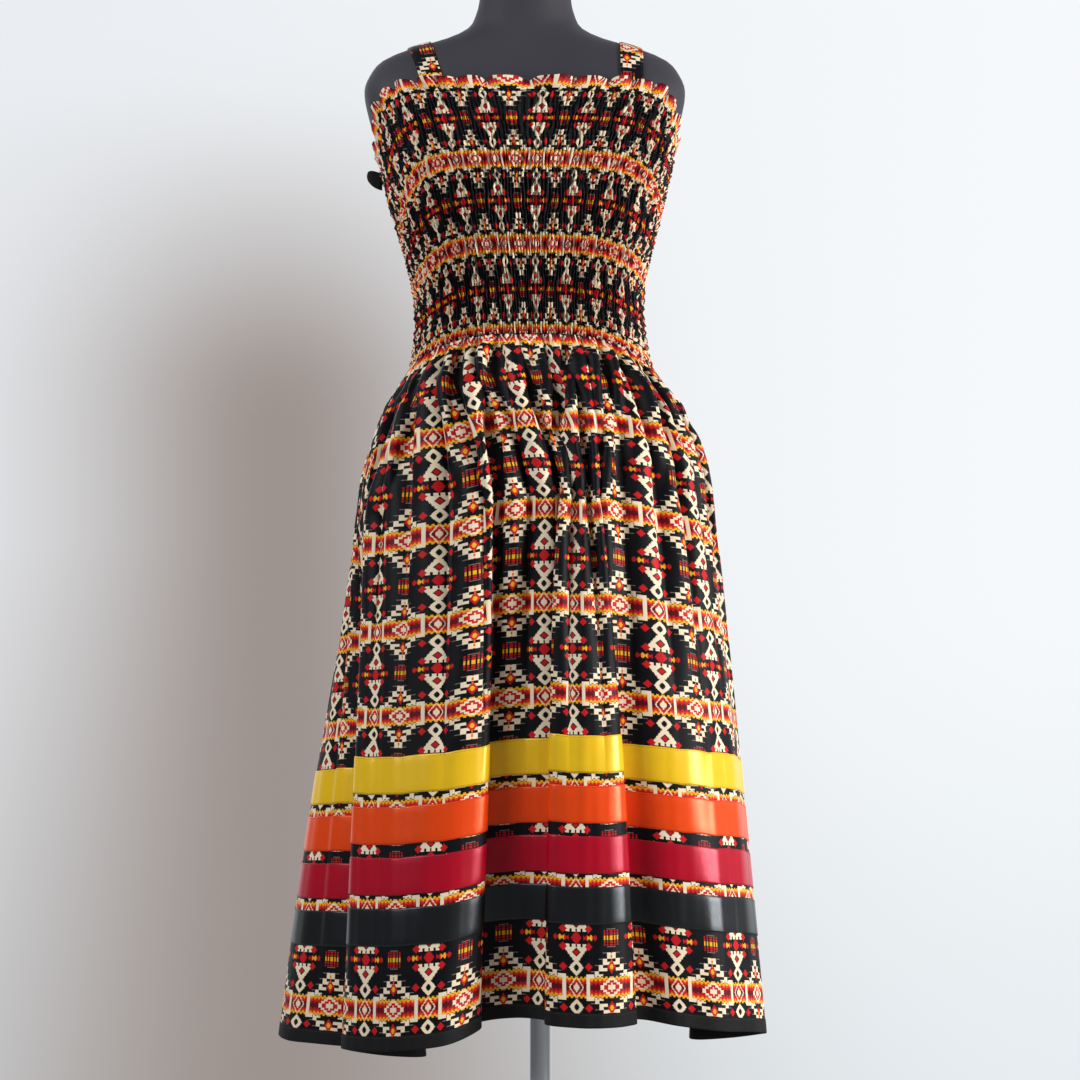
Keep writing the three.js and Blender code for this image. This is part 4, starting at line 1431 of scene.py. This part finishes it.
@dataclass
class RibbonTrim:
    """The four satin ribbons round the skirt and the folded tape at the hem."""

    skirt: Skirt
    names: tuple = ("black", "red", "orange", "yellow")
    lowest: float = 104.0
    pitch: float = 51.0
    width: float = 38.0
    gap: float = 0.35
    wall: float = 0.5
    cover: float = 0.5
    rows: tuple = (38, 36.4, 30, 24, 19, 14, 8, 1.6, 0.0)
    binding_rows: tuple = (15.0, 14.4, 13.2, 10.0, 6.5, 3.0, 1.2, 0.5, 0.0)
    flat: tuple = (0.90, 0.038)
    binding_flat: tuple = (0.90, 0.015)

    def strip(self, low: float, heights: Array) -> dict:
        """Surface of the skirt at heights above the hem."""
        def levels(panel: Panel, share: Array) -> Array:
            """Rows at those heights."""
            above = low + heights[:, None]
            above = above + self.skirt.drawn_up(panel, share, above)
            return self.skirt.last + 1 - above / self.skirt.length(panel, share)
        return self.skirt.surface(levels)

    def cloth(self, share: Array, heights: Array) -> Array:
        """Place of a strip's points on its flat cloth, in metres."""
        return np.stack(np.broadcast_arrays(share * self.flat[0], heights[:, None] * METRE), -1)

    def build(self, wardrobe: Wardrobe, stitching: Stitching) -> None:
        """Makes the ribbons and the binding, and stitches their edges."""
        heights = np.array(self.rows)
        edge = np.abs(heights - self.width / 2) > 18
        lift = self.gap + self.wall - np.where(edge, 0.25, 0.0)[:, None, None]
        for k, colour in enumerate(self.names):
            low = self.lowest + k * self.pitch
            for panel, (share, points, normal) in self.strip(low, heights).items():
                outer, inner = points + normal * lift, points + normal * self.gap
                name = f"ribbon_{colour}_{panel.value}_strip"
                cloth = self.cloth(share, heights)
                piece = Mesher.shell(name, leaned(outer), leaned(inner), cloth, wardrobe.satin[colour])
                wear(piece, f"ribbon_{colour}_{panel.value}")
                for row in (1, len(heights) - 2):
                    stitching.follow(leaned(outer[row]), normal[row])
        self.bind(wardrobe, stitching)

    def bind(self, wardrobe: Wardrobe, stitching: Stitching) -> None:
        """Makes the tape that is folded over the hem."""
        heights = np.array(self.binding_rows)
        middle = -self.skirt.wall / 2
        half = self.skirt.wall / 2 + self.cover
        bulge = np.sqrt(np.clip(1 - (1 - np.minimum(heights / 1.1, 1)) ** 2, 0.02, 1))
        bulge[0] = 0.75
        for panel, (share, points, normal) in self.strip(0.0, heights).items():
            outer = points + normal * (middle + half * bulge)[:, None, None]
            inner = points + normal * (middle - half * bulge)[:, None, None]
            name = f"hem_tape_{panel.value}"
            cloth = self.cloth(share, heights)
            piece = Mesher.shell(name, leaned(outer), leaned(inner), cloth, wardrobe.tape)
            wear(piece, f"hem_binding_{panel.value}")
            stitching.follow(leaned(outer[2]), normal[2])


# Studio


@dataclass
class Studio:
    """Camera, floor and soft light."""

    distance: float = 2.9
    eye: float = 0.845
    focal_pixels: float = 2589.0
    floor_radius: float = 1.1
    lamps: tuple = (
        ("key", (2.6, -1.05, 1.2), (0, 0, 0.8), 1.0, 106, (1.0, 0.985, 0.965)),
        ("fill", (-2.0, -1.35, 2.4), (0, 0, 0.6), 1.2, 58, (0.95, 0.97, 1.0)),
        ("rear", (-1.2, 2.3, 1.9), (0, 0, 0.8), 1.6, 16, (1, 1, 1)),
    )

    def camera(self) -> None:
        """Sets the camera level, straight in front of the dress."""
        data = bpy.data.cameras.new("camera")
        data.sensor_width = 36
        data.lens = self.focal_pixels / 1080 * 36
        camera = bpy.data.objects.new("camera", data)
        camera.location = (0, -self.distance, self.eye)
        camera.rotation_euler = (math.radians(90), 0, 0)
        bpy.context.scene.collection.objects.link(camera)
        bpy.context.scene.camera = camera

    def floor(self) -> None:
        """Lays a plain pale floor."""
        angle = np.arange(128) * (2 * math.pi / 128)
        rim = np.stack([np.cos(angle), np.sin(angle), 0 * angle], -1) * self.floor_radius
        mesh = bpy.data.meshes.new("floor")
        mesh.from_pydata((rim - (0, 0, 0.0005)).tolist(), [], [tuple(range(128))])
        material = bpy.data.materials.new("floor_pale")
        material.use_nodes = True
        shader = material.node_tree.nodes["Principled BSDF"]
        shader.inputs["Base Color"].default_value = (0.30, 0.305, 0.31, 1)
        shader.inputs["Roughness"].default_value = 0.7
        mesh.materials.append(material)
        floor = bpy.data.objects.new("floor", mesh)
        bpy.context.scene.collection.objects.link(floor)
        floor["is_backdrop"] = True

    @staticmethod
    def light(name: str, place: tuple, target: tuple, size: float, power: float, colour: tuple) -> None:
        """Adds a soft upright light.

        Args:
            name: The light's name.
            place: Where it stands, in metres.
            target: Where it points.
            size: Its width.
            power: Its power in watts.
            colour: Its colour.
        """
        data = bpy.data.lights.new(name, "AREA")
        data.shape = "RECTANGLE"
        data.size = size
        data.size_y = size * 1.3
        data.energy = power
        data.color = colour
        lamp = bpy.data.objects.new(name, data)
        lamp.location = place
        lamp.rotation_euler = (Vector(target) - Vector(place)).to_track_quat("-Z", "Y").to_euler()
        bpy.context.scene.collection.objects.link(lamp)

    def air(self) -> None:
        """Sets the pale surroundings: darker to the left and behind the viewer. The wall ahead carries
        painted light, brighter to the right and darker low down, and a painted shadow of the dress on its
        left.
        """
        world = bpy.data.worlds.new("studio")
        world.use_nodes = True
        world.node_tree.nodes.clear()
        nodes = Nodes(world.node_tree)
        x, y, z = nodes.parts(nodes.place("Generated"))

        def ramp(height: Value) -> Value:
            """Holds a value between 0 and 1, with soft ends."""
            return nodes.maths("SMOOTH_MIN", nodes.maths("SMOOTH_MAX", height, 0.0, 0.3), 1.0, 0.3)

        ahead = nodes.maths("SMOOTH_MIN", nodes.maths("MAXIMUM", y * 2.2 - 0.6, 0.0), 1.0, 0.3)
        # Painted light on the wall ahead: brighter to the right, where the light falls.
        wall = nodes.mix(x * 2.6 + 0.52, linear(234, 237, 241), linear(246, 249, 251))
        # The painted shadow of the dress on the wall fades in below this height.
        low = ramp((z - 0.17) * -9.5)
        # Painted shade on the wall ahead: darker low down.
        wall = nodes.mix(ramp((z + 0.04) * -6) * 0.8, wall, linear(226, 233, 237))
        # Painted shadow of the dress on the wall ahead, to its left and wider low down.
        wide = nodes.maths("MAXIMUM", z * -0.25, 0.0) + 0.085
        shadow = nodes.maths("EXPONENT", ((x + 0.10) / wide).power(2) * -1) * low
        wall = nodes.mix(shadow * 0.95, wall, linear(152, 140, 134))
        room = nodes.mix(x * 0.7 + 0.5, (0.15, 0.152, 0.16), (0.28, 0.285, 0.29))
        colour = nodes.mix(ahead, room, wall)
        back = nodes.node("ShaderNodeBackground", {}, {"Color": colour, "Strength": 1.0})
        nodes.node("ShaderNodeOutputWorld", {}, {0: back.outputs[0]})
        bpy.context.scene.world = world

    def build(self) -> None:
        """Sets up the studio."""
        self.camera()
        self.floor()
        self.air()
        for lamp in self.lamps:
            self.light(*lamp)
        settings = bpy.context.scene.view_settings
        settings.view_transform = "Standard"
        settings.look = "None"


def main() -> None:
    """Builds the studio, the stand, the form and the dress."""
    logging.basicConfig(level=logging.INFO, format="%(name)s: %(message)s")
    Studio().build()
    wardrobe = Wardrobe()
    stitching = Stitching()
    Stand().build(wardrobe)
    form = DressForm()
    form.build(wardrobe)
    bodice = Bodice(form)
    bodice.build(wardrobe)
    Ruffle(bodice).build(wardrobe)
    Straps(bodice).build(wardrobe, stitching)
    skirt = Skirt()
    skirt.build(wardrobe)
    RibbonTrim(skirt).build(wardrobe, stitching)
    threads = stitching.sew("seam_stitches", wardrobe.thread)
    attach(threads, "root")
    total = 0
    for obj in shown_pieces():
        if obj.type == "MESH" and not obj.hide_render:
            count = sum(len(face.vertices) - 2 for face in obj.data.polygons)
            total += count
            LOG.info("%s: %d triangles", obj.name, count)
    LOG.info("all pieces: %d triangles", total)


if __name__ == "__main__":
    main()
